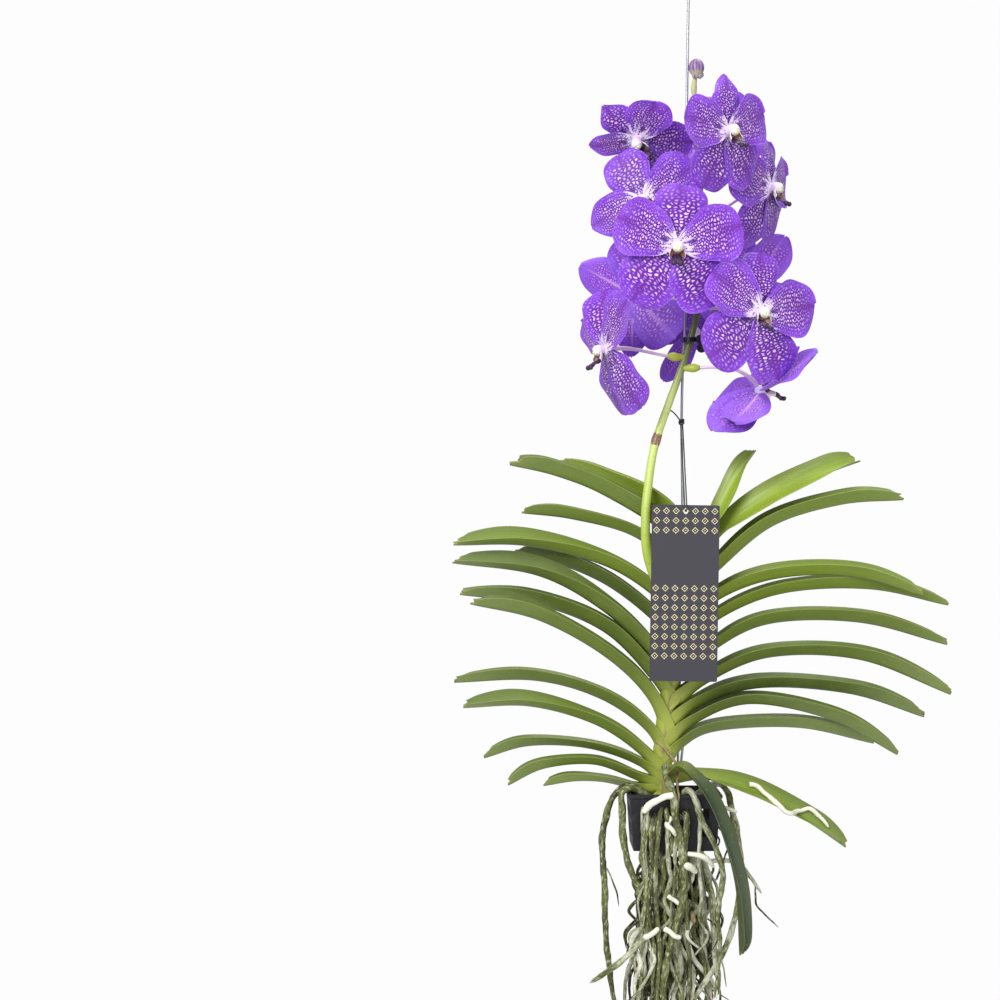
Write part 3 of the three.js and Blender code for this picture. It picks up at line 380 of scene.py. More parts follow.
def cordRoute():
    turn = math.radians(tag["turn"])
    x, y, z = tag["top"]
    hole = np.array([x - tag["holeDrop"] * math.sin(turn), y - tag["thickness"] / 2, z - tag["holeDrop"]])
    reach, rise, lean = (tagCord[key] for key in ("loopReach", "loopRise", "loopLean"))
    shift = np.array([tagCord["strandGap"] / 2, 0, 0])
    startFront = np.array(tagCord["knot"]) + shift
    startBack = np.array(tagCord["knot"]) - shift
    frontTop = hole + (lean, -reach, rise)
    backTop = hole + (-lean, reach, rise)
    return [
        startFront,
        mix(startFront, frontTop, 0.35),
        mix(startFront, frontTop, 0.7),
        frontTop,
        hole + (lean / 2, -0.75 * reach, rise / 4),
        hole,
        hole + (-lean / 2, 0.75 * reach, rise / 4),
        backTop,
        mix(backTop, startBack, 0.3),
        mix(backTop, startBack, 0.65),
        startBack,
    ]


cordBlack = cordMaterial()


def addTagCord():
    points = toFrame(splinePoints(cordRoute(), np.linspace(0, 1, 61)))
    line = bpy.data.curves.new("tagCord", "CURVE")
    line.dimensions = "3D"
    line.bevel_depth = tagCord["diameter"] * 0.0005
    line.bevel_resolution = 3
    spline = line.splines.new("POLY")
    spline.points.add(len(points) - 1)
    for target, point in zip(spline.points, points):
        target.co = (*point, 1)
    line.materials.append(cordBlack)
    piece = addObject("tagCord", line)
    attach(piece, "root")
    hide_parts("tag_cord")


addTagCord()
print("tag cord done")


# Hanger

hanger = {
    "radius": 1.1,
    "hookTop": 726,
    "hookInside": 10,
    "hookLip": 10,
    "hookFlare": 1.5,
    "neck": [(9, 705), (3.5, 697), (0.3, 688)],
    "run": [
        (0, 0, 664), (-1, 4, 582), (-1, 6, 496), (-2, 7, 405), (-4, 9, 362), (-5, 12, 308),
        (-4, 17, 241), (-4, 20, 159), (-6, 26, 74), (-7, 33, 12), (-7, 33.5, -2),
    ],
    "catch": (-7, 36.07, -13.15),  # middle of the bend under the window's top edge
    "catchTurn": 2.4,
    "endRise": [(-7, 40.6, -4), (-6, 41.2, 4), (-4, 41.6, 16), (-2, 41, 34)],
    "drawLine": 0.25,  # marks left by the drawing die
    "zinc": ("#7E8186", "#C4C6C9"),
}


# Galvanised steel wire, cold drawn: soft grey zinc with fine lines along it.
def wireMaterial():
    m = Finish("galvanised steel wire", Metallic=1.0)
    lines = m.noise(m.stretched(m.vector("place"), 0.08, 1 / hanger["drawLine"], 0), 1, 3)
    dark, light = hanger["zinc"]
    return m.done(m.coats(dark, (lines, light)), Roughness=m.ramp(lines, 0, 1, 0.28, 0.5))


def addHanger():
    bend = hanger["hookInside"] + hanger["radius"]
    middle = hanger["hookTop"] - hanger["hookInside"]
    hook = [(bend * math.cos(a), 0, middle + bend * math.sin(a)) for a in np.radians(range(180, 4, -25))]
    x, y, z = hanger["catch"]
    turn = hanger["catchTurn"]
    catch = [(x, y - turn * math.cos(a), z + turn * (1 - math.sin(a))) for a in np.radians(range(0, 181, 45))]
    route = [
        (-bend - hanger["hookFlare"], 0, middle - hanger["hookLip"]),
        *hook,
        *[(x, 0, z) for x, z in hanger["neck"]],
        *hanger["run"],
        *catch,
        *hanger["endRise"],
    ]
    points = splinePoints(route, np.linspace(0, 1, 12 * len(route)))
    radii = np.full(len(points), hanger["radius"])
    radii[[0, -1]] *= 0.8  # cut ends, a little burred over
    buildPiece("hangerWire", [skin(tubeRings(points, radii, 12))], [wireMaterial()], "wire_steel",
               "hanger_hook", "hanger_wire")


addHanger()
print("hanger done")


# Leaves

leafForm = {
    "thickness": 1.3,
    "baseShare": 0.6,  # of the full width, at the base
    "baseFold": 56,
    "tipFold": 52,
    "widened": 0.42,
    "opened": 0.35,
    "rolled": 0.5,
    "closing": (0.55, 1),
    "twisting": (0.45, 0.9),
    "tipStart": 0.8,
    "tipShare": 0.4,
    "rounding": 0.86,  # of the hanging leaf's end, which isn't bitten to a taper
    "tooth": 3,
    "bite": 4.2,  # deepest notch of the bitten tip
    "bow": 0.05,  # of the half width, how far each half bulges
    "ripple": 0.35,
    "rows": 66,
    "columns": 19,
    "sheathRows": 9,
    "sheathLength": 34,
    "sheathTurn": (112, 86),  # degrees round the stem to each side, at the foot and at the mouth
    "sheathProud": (0.2, 1.2),  # off the stem at the sheath's foot and at its mouth
    "sheathSkin": 0.6,
    "freed": 0.09,  # share of the length by which the blade has left the stem
    "wrapping": (0.05, 0.28),  # over which the base, folded round the stem, opens into the blade
    "wrapDepth": (6.5, 12),  # in front of and behind the stem, and what a whole length would add
    "wrapHeight": 0.74,  # of the half width
    "vein": 1.1,  # between the veins that show
    "patch": 14,  # cloudy patches
    "speck": 2.4,
}
stem = {
    "axis": [(-22, -3), (-21, 19), (-16, 57), (-9, 89), (1, 160), (7, 206)],
    "foot": -3,
    "top": 204,
    "halfWidth": (7.5, 5),
    "halfDepth": (6, 4),
    "sheaths": 9,
    "sheathFlare": 1.1,
    "rows": 90,
    "sides": 28,
}

# Tone is 0 on an old dark leaf and 1 on a young lime one. Keels run from the stem to the tip in x, z.
# Then come half width, fold, roll and twist in degrees, and how far the tip bends back.
leaves = [
    ("leaf_left_01", 0.42, [(1, 176), (-17, 214), (-69, 248), (-111, 265), (-150, 274)], 17, 52, 4, 0, -22),
    ("leaf_left_02", 0.9, [(4, 191), (-10, 223), (-37, 246), (-74, 262), (-111, 275)], 15, 50, 6, 0, 26),
    ("leaf_left_03", 0.45, [(-2, 158), (-17, 192), (-49, 216), (-98, 229), (-140, 234)], 13, 46, 2, 0, 4),
    ("leaf_left_04", 0.72, [(-4, 124), (-19, 155), (-66, 188), (-133, 206), (-197, 207)], 16, 44, 4, 26, -14),
    ("leaf_left_05", 0.2, [(-6, 106), (-21, 135), (-63, 170), (-106, 190), (-146, 200)], 15, 46, 4, 0, 22),
    ("leaf_left_06", 0.35, [(-9, 84), (-27, 109), (-69, 150), (-125, 181), (-198, 192)], 17, 48, 4, 26, -12),
    ("leaf_left_07", 0.32, [(-12, 63), (-29, 92), (-69, 133), (-125, 156), (-192, 165)], 16, 48, 4, 0, 12),
    ("leaf_left_08", 0.38, [(-18, 34), (-32, 76), (-69, 113), (-125, 144), (-183, 158)], 16, 44, 4, 0, -14),
    ("leaf_left_09", 0.42, [(-20, 19), (-34, 50), (-74, 78), (-129, 93), (-197, 91)], 14, 40, 2, 0, 10),
    ("leaf_left_10", 0.5, [(-22, 8), (-41, 32), (-79, 57), (-133, 72), (-189, 71)], 14, 42, 4, 24, -12),
    ("leaf_left_11", 0.45, [(-22, 1), (-40, 21), (-83, 36), (-133, 38), (-172, 27)], 12, 34, 2, 0, 12),
    ("leaf_left_12", 0.5, [(-22, -1), (-44, 10), (-79, 23), (-121, 20), (-152, 6)], 12, 36, 2, 0, -8),
    ("leaf_left_13", 0.62, [(-23, -3), (-46, 2), (-70, 8), (-95, 9), (-122, 5)], 10, 34, 2, 0, -2),
    ("leaf_right_01", 1.0, [(9, 196), (20, 220), (32, 245), (43, 266), (57, 286)], 11, 24, 42, 0, 8),
    ("leaf_right_02", 0.95, [(6, 180), (25, 213), (68, 245), (112, 265), (145, 277)], 16, 26, 40, 0, 6),
    ("leaf_right_03", 0.62, [(2, 162), (25, 186), (70, 223), (127, 241), (179, 245)], 16, 46, 8, 0, -8),
    ("leaf_right_04", 0.85, [(-3, 131), (23, 160), (73, 179), (136, 181), (194, 165)], 15, 50, 12, 0, -16),
    ("leaf_right_05", 0.74, [(-6, 111), (21, 142), (77, 166), (152, 170), (220, 156)], 14, 46, 6, 0, 10),
    ("leaf_right_06", 0.5, [(-9, 90), (20, 118), (68, 141), (144, 142), (218, 123)], 15, 42, 4, 0, 4),
    ("leaf_right_07", 0.38, [(-13, 66), (15, 91), (68, 113), (144, 111), (219, 82)], 16, 40, 6, 0, -10),
    ("leaf_right_08", 0.3, [(-16, 46), (8, 71), (60, 87), (136, 82), (199, 62)], 16, 42, 6, 0, 6),
    ("leaf_right_09", 0.3, [(-18, 31), (5, 57), (52, 74), (119, 61), (174, 32)], 15, 40, 4, 0, -14),
    ("leaf_right_10", 0.4, [(-20, 15), (-4, 38), (26, 51), (94, 53), (158, 39)], 14, 40, 4, 0, 16),
    ("leaf_right_11", 0.58, [(-20, 5), (14, 10), (56, -1), (98, -24), (132, -47)], 13, 26, 38, 0, -4),
    ("leaf_right_12", 0.0, [(-19, 9), (-5, 19), (17, -10), (35, -68), (39, -129)],
     12, 26, 30, 0, (-5, -34, -54, -58, -60)),
]


# Orchid leaf, thick and leathery under a waxy skin: low soft gloss and parallel veins, yellower
# where it clasps the stem with a papery brown hem, and dry along the bitten tip.
# Painted light lifts the clasping base beyond its own yellower colour.
# Painted shade darkens the rear half of each leaf.
def leafMaterial():
    m = Finish("leathery orchid leaf", Specular_IOR_Level=0.45)
    place = m.vector("place")
    share = m.parts(place)[2]
    column, face, tone = m.parts(m.vector("trait"))
    edge = m.maths("ABSOLUTE", column)
    veins = m.noise(m.stretched(place, 0.02, 1 / leafForm["vein"], 0), 1, 2, Roughness=0.6)
    here = m.onObject()
    clouds = m.noise(here, 1000 / leafForm["patch"], 3)
    specks = m.noise(here, 1000 / leafForm["speck"], 1)
    most = m.ramp(tone, 0, 0.3, 0.06, 0.4)  # old leaves are the plainest
    papery = m.product(m.ramp(edge, 0.84, 0.95), m.ramp(share, 0.02, 0.12, 0.8, 0))
    frayed = m.maths("MULTIPLY_ADD", clouds, 0.03, share)
    green = m.coats(
        "#2C3D2A",  # old
        (m.ramp(tone, 0, 0.4), "#6C8032"),  # grown
        (m.ramp(tone, 0.4, 1), "#93AC2A"),  # young
        (m.ramp(clouds, 0.35, 0.7, 0, most), "#829339"),
        (m.ramp(veins, 0.42, 0.66, 0, 0.3), "#4A5A22"),
        (m.ramp(face, 0, 1, 0.16, 0), "#76834A"),  # underside
        (m.soft(share, 0, 0.42, 0.66, 0), "#AFB84A"),  # clasping base: yellower, and partly painted light
        (m.soft(share, 0.6, 1, 0, most), "#7F8E55"),  # waxy bloom
        (m.ramp(specks, 0.7, 0.78, 0, 0.45), "#A9A75A"),
        (m.soft(column, 0.15, 0.95, 0, 0.5), "#4B5730"),  # painted shade on the rear half
        (m.ramp(edge, 0.965, 0.995, 0, 0.15), "#B9BF7A"),  # thin rim
        (papery, "#9C8660"),
        (m.ramp(frayed, 1.004, 1.024, 0, 0.5), "#A79A5C"),  # dry tip
    )
    return m.done(green, bump=(veins, 0.35, 0.0004), Roughness=m.ramp(veins, 0.3, 0.7, 0.34, 0.52))


def stemX(shares):
    return splinePoints([(x, 0, z) for x, z in stem["axis"]], np.atleast_1d(shares))[:, 0]


# One row of the sheath round the stem, as its outside and its inside
def sheathRow(share, height, side, columns):
    height += min(share, 0) * leafForm["sheathLength"]
    stemShare = np.clip((height - stem["foot"]) / (stem["top"] - stem["foot"]), 0, 1)
    mouth = np.clip(1 + share, 0, 1)
    proud = mix(*leafForm["sheathProud"], mouth)
    turns = columns * math.radians(mix(*leafForm["sheathTurn"], mouth))
    x = stemX(stemShare)[0]
    outer = stacked(
        x + side * (mix(*stem["halfWidth"], stemShare) + proud) * np.cos(turns),
        side * (mix(*stem["halfDepth"], stemShare) + proud) * np.sin(turns),
        height + leafForm["tooth"] * (1 - np.abs(columns)),
    )
    outward = (outer - (x, 0, 0)) * (1, 1, 0)
    outward /= np.linalg.norm(outward, axis=1, keepdims=True)
    return outer, outer - leafForm["sheathSkin"] * outward


# A leaf from the foot of its sheath to its bitten tip, as rings of its upper and lower face.
def leafSkin(tone, keel, half, fold, roll, twist, depth, rng):
    side = np.sign(keel[4][0] - keel[0][0])
    hanging = isinstance(depth, tuple)
    depths = depth if hanging else [depth * (i / 4) ** 2 for i in range(5)]
    route = [(x, y, z) for (x, z), y in zip(keel, depths)]
    length = lengthsAlong(splinePoints(route, np.linspace(0, 1, 40)))[-1]
    columns = np.sin(np.linspace(1, -1, leafForm["columns"]) * np.pi / 2)
    both = np.concatenate([columns, columns[::-1]])
    away = np.abs(columns)
    rounded = 1.13 * (np.sqrt(away ** 2 + 0.06) - 0.245)  # the fold is a soft trough
    notches = np.interp(columns, np.linspace(-1, 1, 10), rng.uniform(-1, 0.45, 10))
    bite = notches * leafForm["bite"] * (half / 16) ** 2 * (away > 0.12)
    phase, _ = rng.uniform(0, 2 * np.pi, 2)
    thick = leafForm["thickness"] * (0.85 - 0.55 * away ** 3 + 0.4 * np.exp(-(columns / 0.1) ** 2))
    nearest, added = leafForm["wrapDepth"]
    wrapRise = leafForm["wrapHeight"] * half * np.maximum(away - 0.2, 0) / 0.8
    sheathShares = np.linspace(-1, 0, leafForm["sheathRows"], endpoint=False)
    bladeShares = 1 - (1 - np.linspace(0, 1, leafForm["rows"])) ** 1.25
    rings, places = [], []
    for share in [*sheathShares, *bladeShares]:
        u = max(share, 0)
        before, centre, after = splinePoints(route, [max(u - 1e-3, 0), u, min(u + 1e-3, 1)])
        along = unit(after - before)
        across = back * side
        across = unit(across - across.dot(along) * along)
        normal = np.cross(along, across)
        turned = roll * smoothStep(0, leafForm["rolled"], u) + twist * smoothStep(*leafForm["twisting"], u)
        turned = math.radians(turned * side)
        tilted = across * math.cos(turned) + normal * math.sin(turned)
        raised = normal * math.cos(turned) - across * math.sin(turned)
        opening = mix(leafForm["baseFold"], fold, smoothStep(0, leafForm["opened"], u))
        folded = math.radians(mix(opening, leafForm["tipFold"], smoothStep(*leafForm["closing"], u)))
        tipPart = max(u - leafForm["tipStart"], 0) / (1 - leafForm["tipStart"])
        width = half * mix(leafForm["baseShare"], 1, smoothStep(0, leafForm["widened"], u))
        if hanging:
            width *= math.sqrt(1 - leafForm["rounding"] * tipPart ** 5)
        else:
            width *= mix(1, leafForm["tipShare"], tipPart ** 2)
        ripple = leafForm["ripple"] * away ** 2 * np.sin(9 * u + phase)
        bow = leafForm["bow"] * width * np.sin(np.pi * away) + ripple
        rise = rounded * width * math.sin(folded) + bow * smoothStep(0.1, 0.4, u)
        shift = (bite - leafForm["tooth"] * away) * smoothStep(0.94, 1, u)
        wrap = 0 if hanging else 1 - smoothStep(*leafForm["wrapping"], u)
        spread = mix(columns * width * math.cos(folded), (nearest + added * u) * np.tanh(3 * columns), wrap)
        rise = mix(rise, wrapRise, wrap)
        upper = centre + np.outer(spread, tilted) + np.outer(rise, raised) + np.outer(shift, along)
        lower = upper - np.outer(thick, raised)
        clasped = 1 - smoothStep(0, leafForm["freed"], share)
        if clasped > 0:  # round the stem, the leaf is a sheath that the blade grows out of
            outer, inner = sheathRow(share, centre[2], side, columns)
            upper, lower = mix(upper, inner, clasped), mix(lower, outer, clasped)
        rings.append(np.vstack([upper, lower[::-1]]))
        mm = share * (length if share > 0 else leafForm["sheathLength"])
        places.append(stacked(mm, both * half + 40 * side, u))
    trait = stacked(both * side, np.repeat([1, 0], len(columns)), tone)
    return skin(np.array(rings), place=np.array(places), trait=trait, strip=True)


leafSkins = {}
leafGreen = leafMaterial()


def addLeaves():
    rng = np.random.default_rng(25)
    for name, *form in leaves:
        leafSkins[name] = leafSkin(*form, rng)
        buildPiece(name.replace("leaf", "blade"), [leafSkins[name]], [leafGreen], "leaf_green", name)


addLeaves()
print("leaves done")


# Stem: what shows of it between the sheaths

def addStem():
    share = np.linspace(0, 1, stem["rows"])[:, None]
    turns = fullTurn(stem["sides"])
    proud = 0
    for n in range(1, stem["sheaths"] + 1):
        gap = n / (stem["sheaths"] + 1) - share
        proud = proud + np.where(gap >= 0, stem["sheathFlare"] * np.exp(-gap / 0.03), 0)
    rings = stacked(
        stemX(share[:, 0])[:, None] + (mix(*stem["halfWidth"], share) + proud) * np.cos(turns),
        (mix(*stem["halfDepth"], share) + proud / 2) * np.sin(turns),
        mix(stem["foot"], stem["top"], share),
    )
    body = skin(rings, place=stacked(share * 200, turns * 6, 0.08), trait=(0, 0, 0.6))
    buildPiece("stemSheaths", [body], [leafGreen], "stem_green", "stem")


addStem()
print("stem done")


# Flower spike

spike = {
    "axis": [
        (-9, -3, 128), (-22, -15, 160), (-35, -19, 197), (-37, -18, 227), (-35, -15, 253), (-29, -10, 289),
        (-17, -4, 324), (-7, 0, 351), (1, 0, 376), (8, 0, 405), (12, 0, 437), (12, 0, 466), (11, 0, 496),
        (8, 0, 529), (7, 0, 559), (6, 0, 577),
    ],
    "radii": (4.4, 1.5),
    "scar": (294, 6, 0.6),  # height, half width and proud of the stalk
    "rows": 150,
    "sides": 20,
    "bractRadius": 2.6,
    "bractRows": 12,
    "bractSides": 16,
    "longBract": 6,  # from this length on, a bract bulges
    "fibre": 0.8,  # between the fibres that show through the skin
    "mottle": 420,  # dark flecks to the metre
}
spikeLine = splinePoints(spike["axis"], np.linspace(0, 1, 201))


def spikePointAt(height):
    return spikeLine[np.argmax(spikeLine[:, 2] >= height)]


# Flower stalk with a smooth green skin: faint fibres, darker and browner towards the flowers, and
# a corky brown ring where a bract has dried up.
def spikeMaterial():
    m = Finish("green flower stalk", Roughness=0.42, Subsurface_Weight=0.08, Subsurface_Scale=0.002)
    place = m.vector("place")
    share = m.parts(place)[2]
    bract, _, scar = m.parts(m.vector("trait"))
    fibres = m.noise(m.stretched(place, 0.03, 1 / spike["fibre"], 0), 1, 2)
    mottle = m.noise(m.onObject(), spike["mottle"], 4)
    green = m.coats(
        "#A9BF46",
        (m.soft(share, 0.14, 0.42), "#C6D67C"),
        (m.soft(share, 0.42, 0.56), "#5E6A30"),  # among the flowers
        (m.ramp(fibres, 0.4, 0.7, 0, 0.22), "#7F9440"),
        (m.ramp(mottle, 0.62, 0.72, 0, 0.45), "#7A6A48"),
        (bract, "#A9B23E"),
        (m.ramp(m.product(scar, mottle), 0.3, 0.42), "#7C5B48"),  # cork
    )
    return m.done(green, bump=(fibres, 0.25, 0.0003))


# Blooms. Angles are counted from the bloom's right, and the dorsal sepal stands at 90 degrees.

tepalForm = {
    "thickness": 0.9,
    "claw": 2.4,
    "broadening": 0.85,
    "bluntness": 0.42,
    "rows": 40,
    "columns": 33,
    "wave": 2.4,  # ruffle of the margins
    "groove": 0.7,
    # Of a sepal and of a petal
    "veins": (4.8, 7),  # main veins to each side of the midrib
    "cell": (2.5, 1.95),  # length of a pale cell between two cross veins
    "clawReach": (8, 12),  # how far the white claw reaches
    # Painted shade where the gaps between the tepals meet their feet
    "dotReach": (11, 24),
    "gapShadeAside": (4.4, 0),  # of the midrib
    "gapShadeAlong": 12.5,
    "dot": 2.4,
    "petalSeed": 400,  # petals are seeded above it and sepals below
}
# angle, length, width, start, rise, fall, curl, point of the tip
tepals = {
    "dorsal": (90, 51, 44, -1.2, 0.12, 0.2, 0.1, -1.4),
    "leftSepal": (234, 58, 50, -2.2, 0.14, 0.18, 0.08, 1.2),
    "rightSepal": (306, 58, 50, -0.9, 0.1, 0.12, 0.08, 1.2),
    "rightPetal": (22, 55, 48, 1, 0.18, 0.16, -0.05, 0),
    "leftPetal": (158, 55, 48, 1, 0.18, 0.16, -0.05, 0),
}
# node, centre, size, foot, bract, azimuth, elevation, roll, sweep
blooms = [
    ("bloom_01", (29, -51, 547), 0.9, 520, 3.5, 42, 0, 5, 5),
    ("bloom_02", (-44, -29, 544), 0.79, 512, 3.5, -14, -50, 40, 4),
    ("bloom_03", (-39, -43, 491), 0.9, 480, 3.5, -10, -2, 32, 5),
    ("bloom_04", (-13.5, -65, 451), 1, 442, 3.5, 0, -8, -4, 0),
    ("bloom_05", (70, 11, 507), 0.93, 484, 3.5, 58, -4, 0, 12),
    ("bloom_06", (55, -55, 397), 1, 404, 3.5, 27, 0, -14, 4),
    ("bloom_07", (-70.5, -18, 369), 1.02, 362, 9.5, -66, -8, 4, 8),
    ("bloom_08", (-44, 50, 420), 0.95, 410, 3.5, 170, 0, 0, 10),
    ("bloom_09", (59, -11, 335), 1.02, 353, 9.5, 114, -54, -172, 4),
    ("bloom_10", (61, 58, 430), 0.95, 430, 3.5, 190, 0, 32, 0),
    ("bloom_11", (12, 73, 389), 0.88, 392, 3.5, 175, 0, -2, 2),
    ("bloom_12", (27, 64, 560), 0.8, 516, 3.5, 178, 0, 30, 8),
]
# What sets a tepal apart: turn, sweep and twist in degrees, length and width as shares, bluntness
ownForms = {
    "bloom_01": {
        "dorsal": {"turn": -13, "length": 1.07, "width": 0.78, "bluntness": 0.95},
        "leftSepal": {"turn": 8},
        "rightPetal": {"turn": -6},
        "leftPetal": {"turn": 8},
    },
    "bloom_02": {"dorsal": {"bluntness": 0.95}, "leftPetal": {"turn": -6, "width": 0.68, "bluntness": 0.9}},
    "bloom_03": {"rightPetal": {"turn": -20}, "leftPetal": {"turn": 15, "width": 0.84, "bluntness": 0.75}},
    "bloom_05": {
        "dorsal": {"turn": -24, "width": 0.85},
        "leftSepal": {"turn": 14},
        "rightSepal": {"turn": 10},
        "rightPetal": {"turn": -6, "length": 0.9, "bluntness": 0.7},
        "leftPetal": {"turn": 14, "length": 1.1, "width": 1.06},
    },
    "bloom_06": {"dorsal": {"turn": 8, "width": 0.84}, "rightPetal": {"bluntness": 0.6}},
    "bloom_07": {
        "dorsal": {"turn": 8, "twist": 32},
        "leftSepal": {"turn": 14, "sweep": 3},
        "rightSepal": {"turn": -12, "sweep": 2},
        "rightPetal": {"turn": 18, "width": 0.85},
        "leftPetal": {"turn": -8, "width": 0.55, "bluntness": 0.8},
    },
    "bloom_08": {
        "rightPetal": {"turn": 7, "width": 0.8, "bluntness": 0.85},
        "rightSepal": {"turn": -36, "width": 0.6, "bluntness": 0.7},
        "leftSepal": {"turn": -8},
    },
    "bloom_09": {
        "dorsal": {"turn": -8, "twist": -38, "sweep": -10, "length": 1.1, "bluntness": 0.72},
        "rightPetal": {"turn": 30, "twist": -30, "width": 0.8, "bluntness": 0.75},
        "leftPetal": {"twist": -20},
    },
    "bloom_10": {"dorsal": {"width": 0.85, "bluntness": 0.75}, "leftPetal": {"turn": 34}},
    "bloom_11": {"rightSepal": {"width": 0.5, "bluntness": 0.7}, "leftSepal": {"turn": -38}},
    "bloom_12": {"rightSepal": {"turn": -20, "length": 0.8}, "rightPetal": {"turn": 50, "length": 0.7}},
}
# Where a pedicel leaves the stalk, if that isn't towards its bloom
leavingSideways = {"bloom_08": (-1, 0, 0)}


# Petal flesh: velvety cells, violet between pale windows that stand in rungs across the veins and
# break up into a fine mottle near the margins. The claw is streaked white with dark purple dots,
# and the back is a paler lilac with a pink midrib.
def tepalMaterial():
    m = Finish(
        "violet petal", Roughness=0.5, Specular_IOR_Level=0.3, Subsurface_Weight=0.12, Subsurface_Scale=0.002,
        Sheen_Weight=0.1, Sheen_Roughness=0.5,
    )
    along, across, share = m.parts(m.vector("place"))
    column, face, seed = m.parts(m.vector("trait"))
    petal = m.maths("GREATER_THAN", seed, tepalForm["petalSeed"])
    edge = m.maths("ABSOLUTE", column)

    def byKind(sepalValue, petalValue):
        return m.ramp(petal, 0, 1, sepalValue, petalValue)

    # Wandering coordinates: rungs along the tepal, and columns between its main veins
    flat = m.join(along, across, seed)
    row = m.maths("MULTIPLY_ADD", m.noise(flat, 0.12, 2), 5, along)
    row = m.maths("MULTIPLY_ADD", row, byKind(*(1 / cell for cell in tepalForm["cell"])), seed)
    fan = m.maths("MULTIPLY_ADD", column, byKind(*tepalForm["veins"]), seed)
    cells = {"Vector": m.join(row, fan), "Scale": 1, "Randomness": 0.8}
    net = m.add("TexVoronoi", cells, feature="DISTANCE_TO_EDGE", voronoi_dimensions="2D")
    chance = m.parts(m.add("TexVoronoi", cells, voronoi_dimensions="2D").outputs["Color"])[0]
    fine = m.add("TexVoronoi", {"Vector": flat, "Scale": 0.8, "Randomness": 0.9}, feature="DISTANCE_TO_EDGE")
    freckles = m.noise(flat, 1.3, 3, Roughness=0.65)

    # Pale windows, smaller and fainter towards the margins and the tip
    far = m.maths("MAXIMUM", m.soft(edge, 0.42, 0.95), m.soft(share, 0.62, 1))
    shrink = m.ramp(far, 0, 1, m.ramp(share, 0.15, 0.5, 0.17, 0.22), 0.29)
    feathered = m.difference(m.maths("MULTIPLY_ADD", freckles, 0.44, net), 0.22)
    window = m.ramp(m.difference(feathered, shrink), 0, 0.11)
    strength = m.product(m.ramp(far, 0, 1, 1, 0.22), m.ramp(chance, 0.1, 0.8, 0.45, 1))
    window = m.product(window, strength)
    depth = m.maths("MULTIPLY_ADD", m.noise(flat, 0.07, 2), 0.5, far)
    depth = m.ramp(depth, 0.15, 1.1)
    # Painted shade along the midrib, on the outer part of the tepal
    shadow = m.product(m.soft(edge, 0, 0.34, 0.7, 0), m.soft(share, 0.4, 0.8))

    # White claw, streaked along its veins, longer on a petal and dotted
    streaks = m.noise(m.join(m.product(along, 0.1), m.product(column, 7.5), seed), 1, 2)
    inside = m.product(m.difference(byKind(*tepalForm["clawReach"]), along), 1 / 7)
    whiteness = m.maths("MULTIPLY_ADD", streaks, 5, inside)
    dots = m.add("TexVoronoi", {"Vector": flat, "Scale": 1 / tepalForm["dot"], "Randomness": 0.85})
    dotNear = m.ramp(m.difference(byKind(*tepalForm["dotReach"]), along), 0, 9)

    # A dark patch of painted shade at the foot of each petal, and two at that of a sepal
    offAcross = m.difference(m.maths("ABSOLUTE", across), byKind(*tepalForm["gapShadeAside"]))
    offAlong = m.product(m.difference(along, tepalForm["gapShadeAlong"]), 0.5)
    off = m.add("VectorMath", {0: m.join(offAlong, offAcross)}, operation="LENGTH").outputs["Value"]

    front = m.coats(
        "#641498",
        (depth, "#722AC0"),
        (m.product(m.ramp(fine, 0.04, 0.24, 0, 0.75), far), "#985FD8"),  # mottle
        (m.ramp(net, 0, 0.1, 0.4, 0), "#5B1A8C"),  # veins
        (window, "#F0D6F7"),
        (shadow, "#661C94"),  # painted shade along the midrib
        (m.ramp(whiteness, 2.55, 3.25, 0, 0.92), "#EBDDF6"),  # claw
        (m.product(m.ramp(dots, 0.24, 0.34, 0.9, 0), dotNear), "#531480"),
        (m.ramp(off, 1.2, 2.4, 0.9, 0), "#4E1A7E"),  # painted shade of the gaps between tepals
        (m.ramp(edge, 0.975, 0.997, 0, 0.5), "#B48FEA"),  # rim
    )
    rib = m.product(m.soft(edge, 0, 0.13, 1, 0), m.ramp(share, 0.1, 0.9, 0.9, 0.1))
    # The back's lilac is deepened a little as painted shade; its pink midrib is its own colour.
    rear = m.coats("#8238BC", (depth, "#8852D2"), (m.product(window, 0.6), "#D6BDF2"), (rib, "#D2A6DC"))
    return m.done(m.coats(rear, (face, front)), bump=(net, 0.3, 0.0004))


# Pedicel and ovary: waxy, pinkish white, with six faint ridges.
def pedicelMaterial():
    m = Finish("pinkish flower stalk", Roughness=0.42, Subsurface_Weight=0.15, Subsurface_Scale=0.002)
    place = m.vector("place")
    streaks = m.noise(m.stretched(place, 0.04, 0.9, 0), 1, 2)
    foot = m.ramp(m.parts(place)[2], 0, 0.25, 0.6, 0)
    return m.done(m.coats("#EBD9EA", (streaks, "#C79AC9"), (foot, "#C5C98A")))


def tepalWidth(share, b):
    a = tepalForm["broadening"]
    widest = a / (a + b)
    return share ** a * (1 - share) ** b / (widest ** a * (1 - widest) ** b)


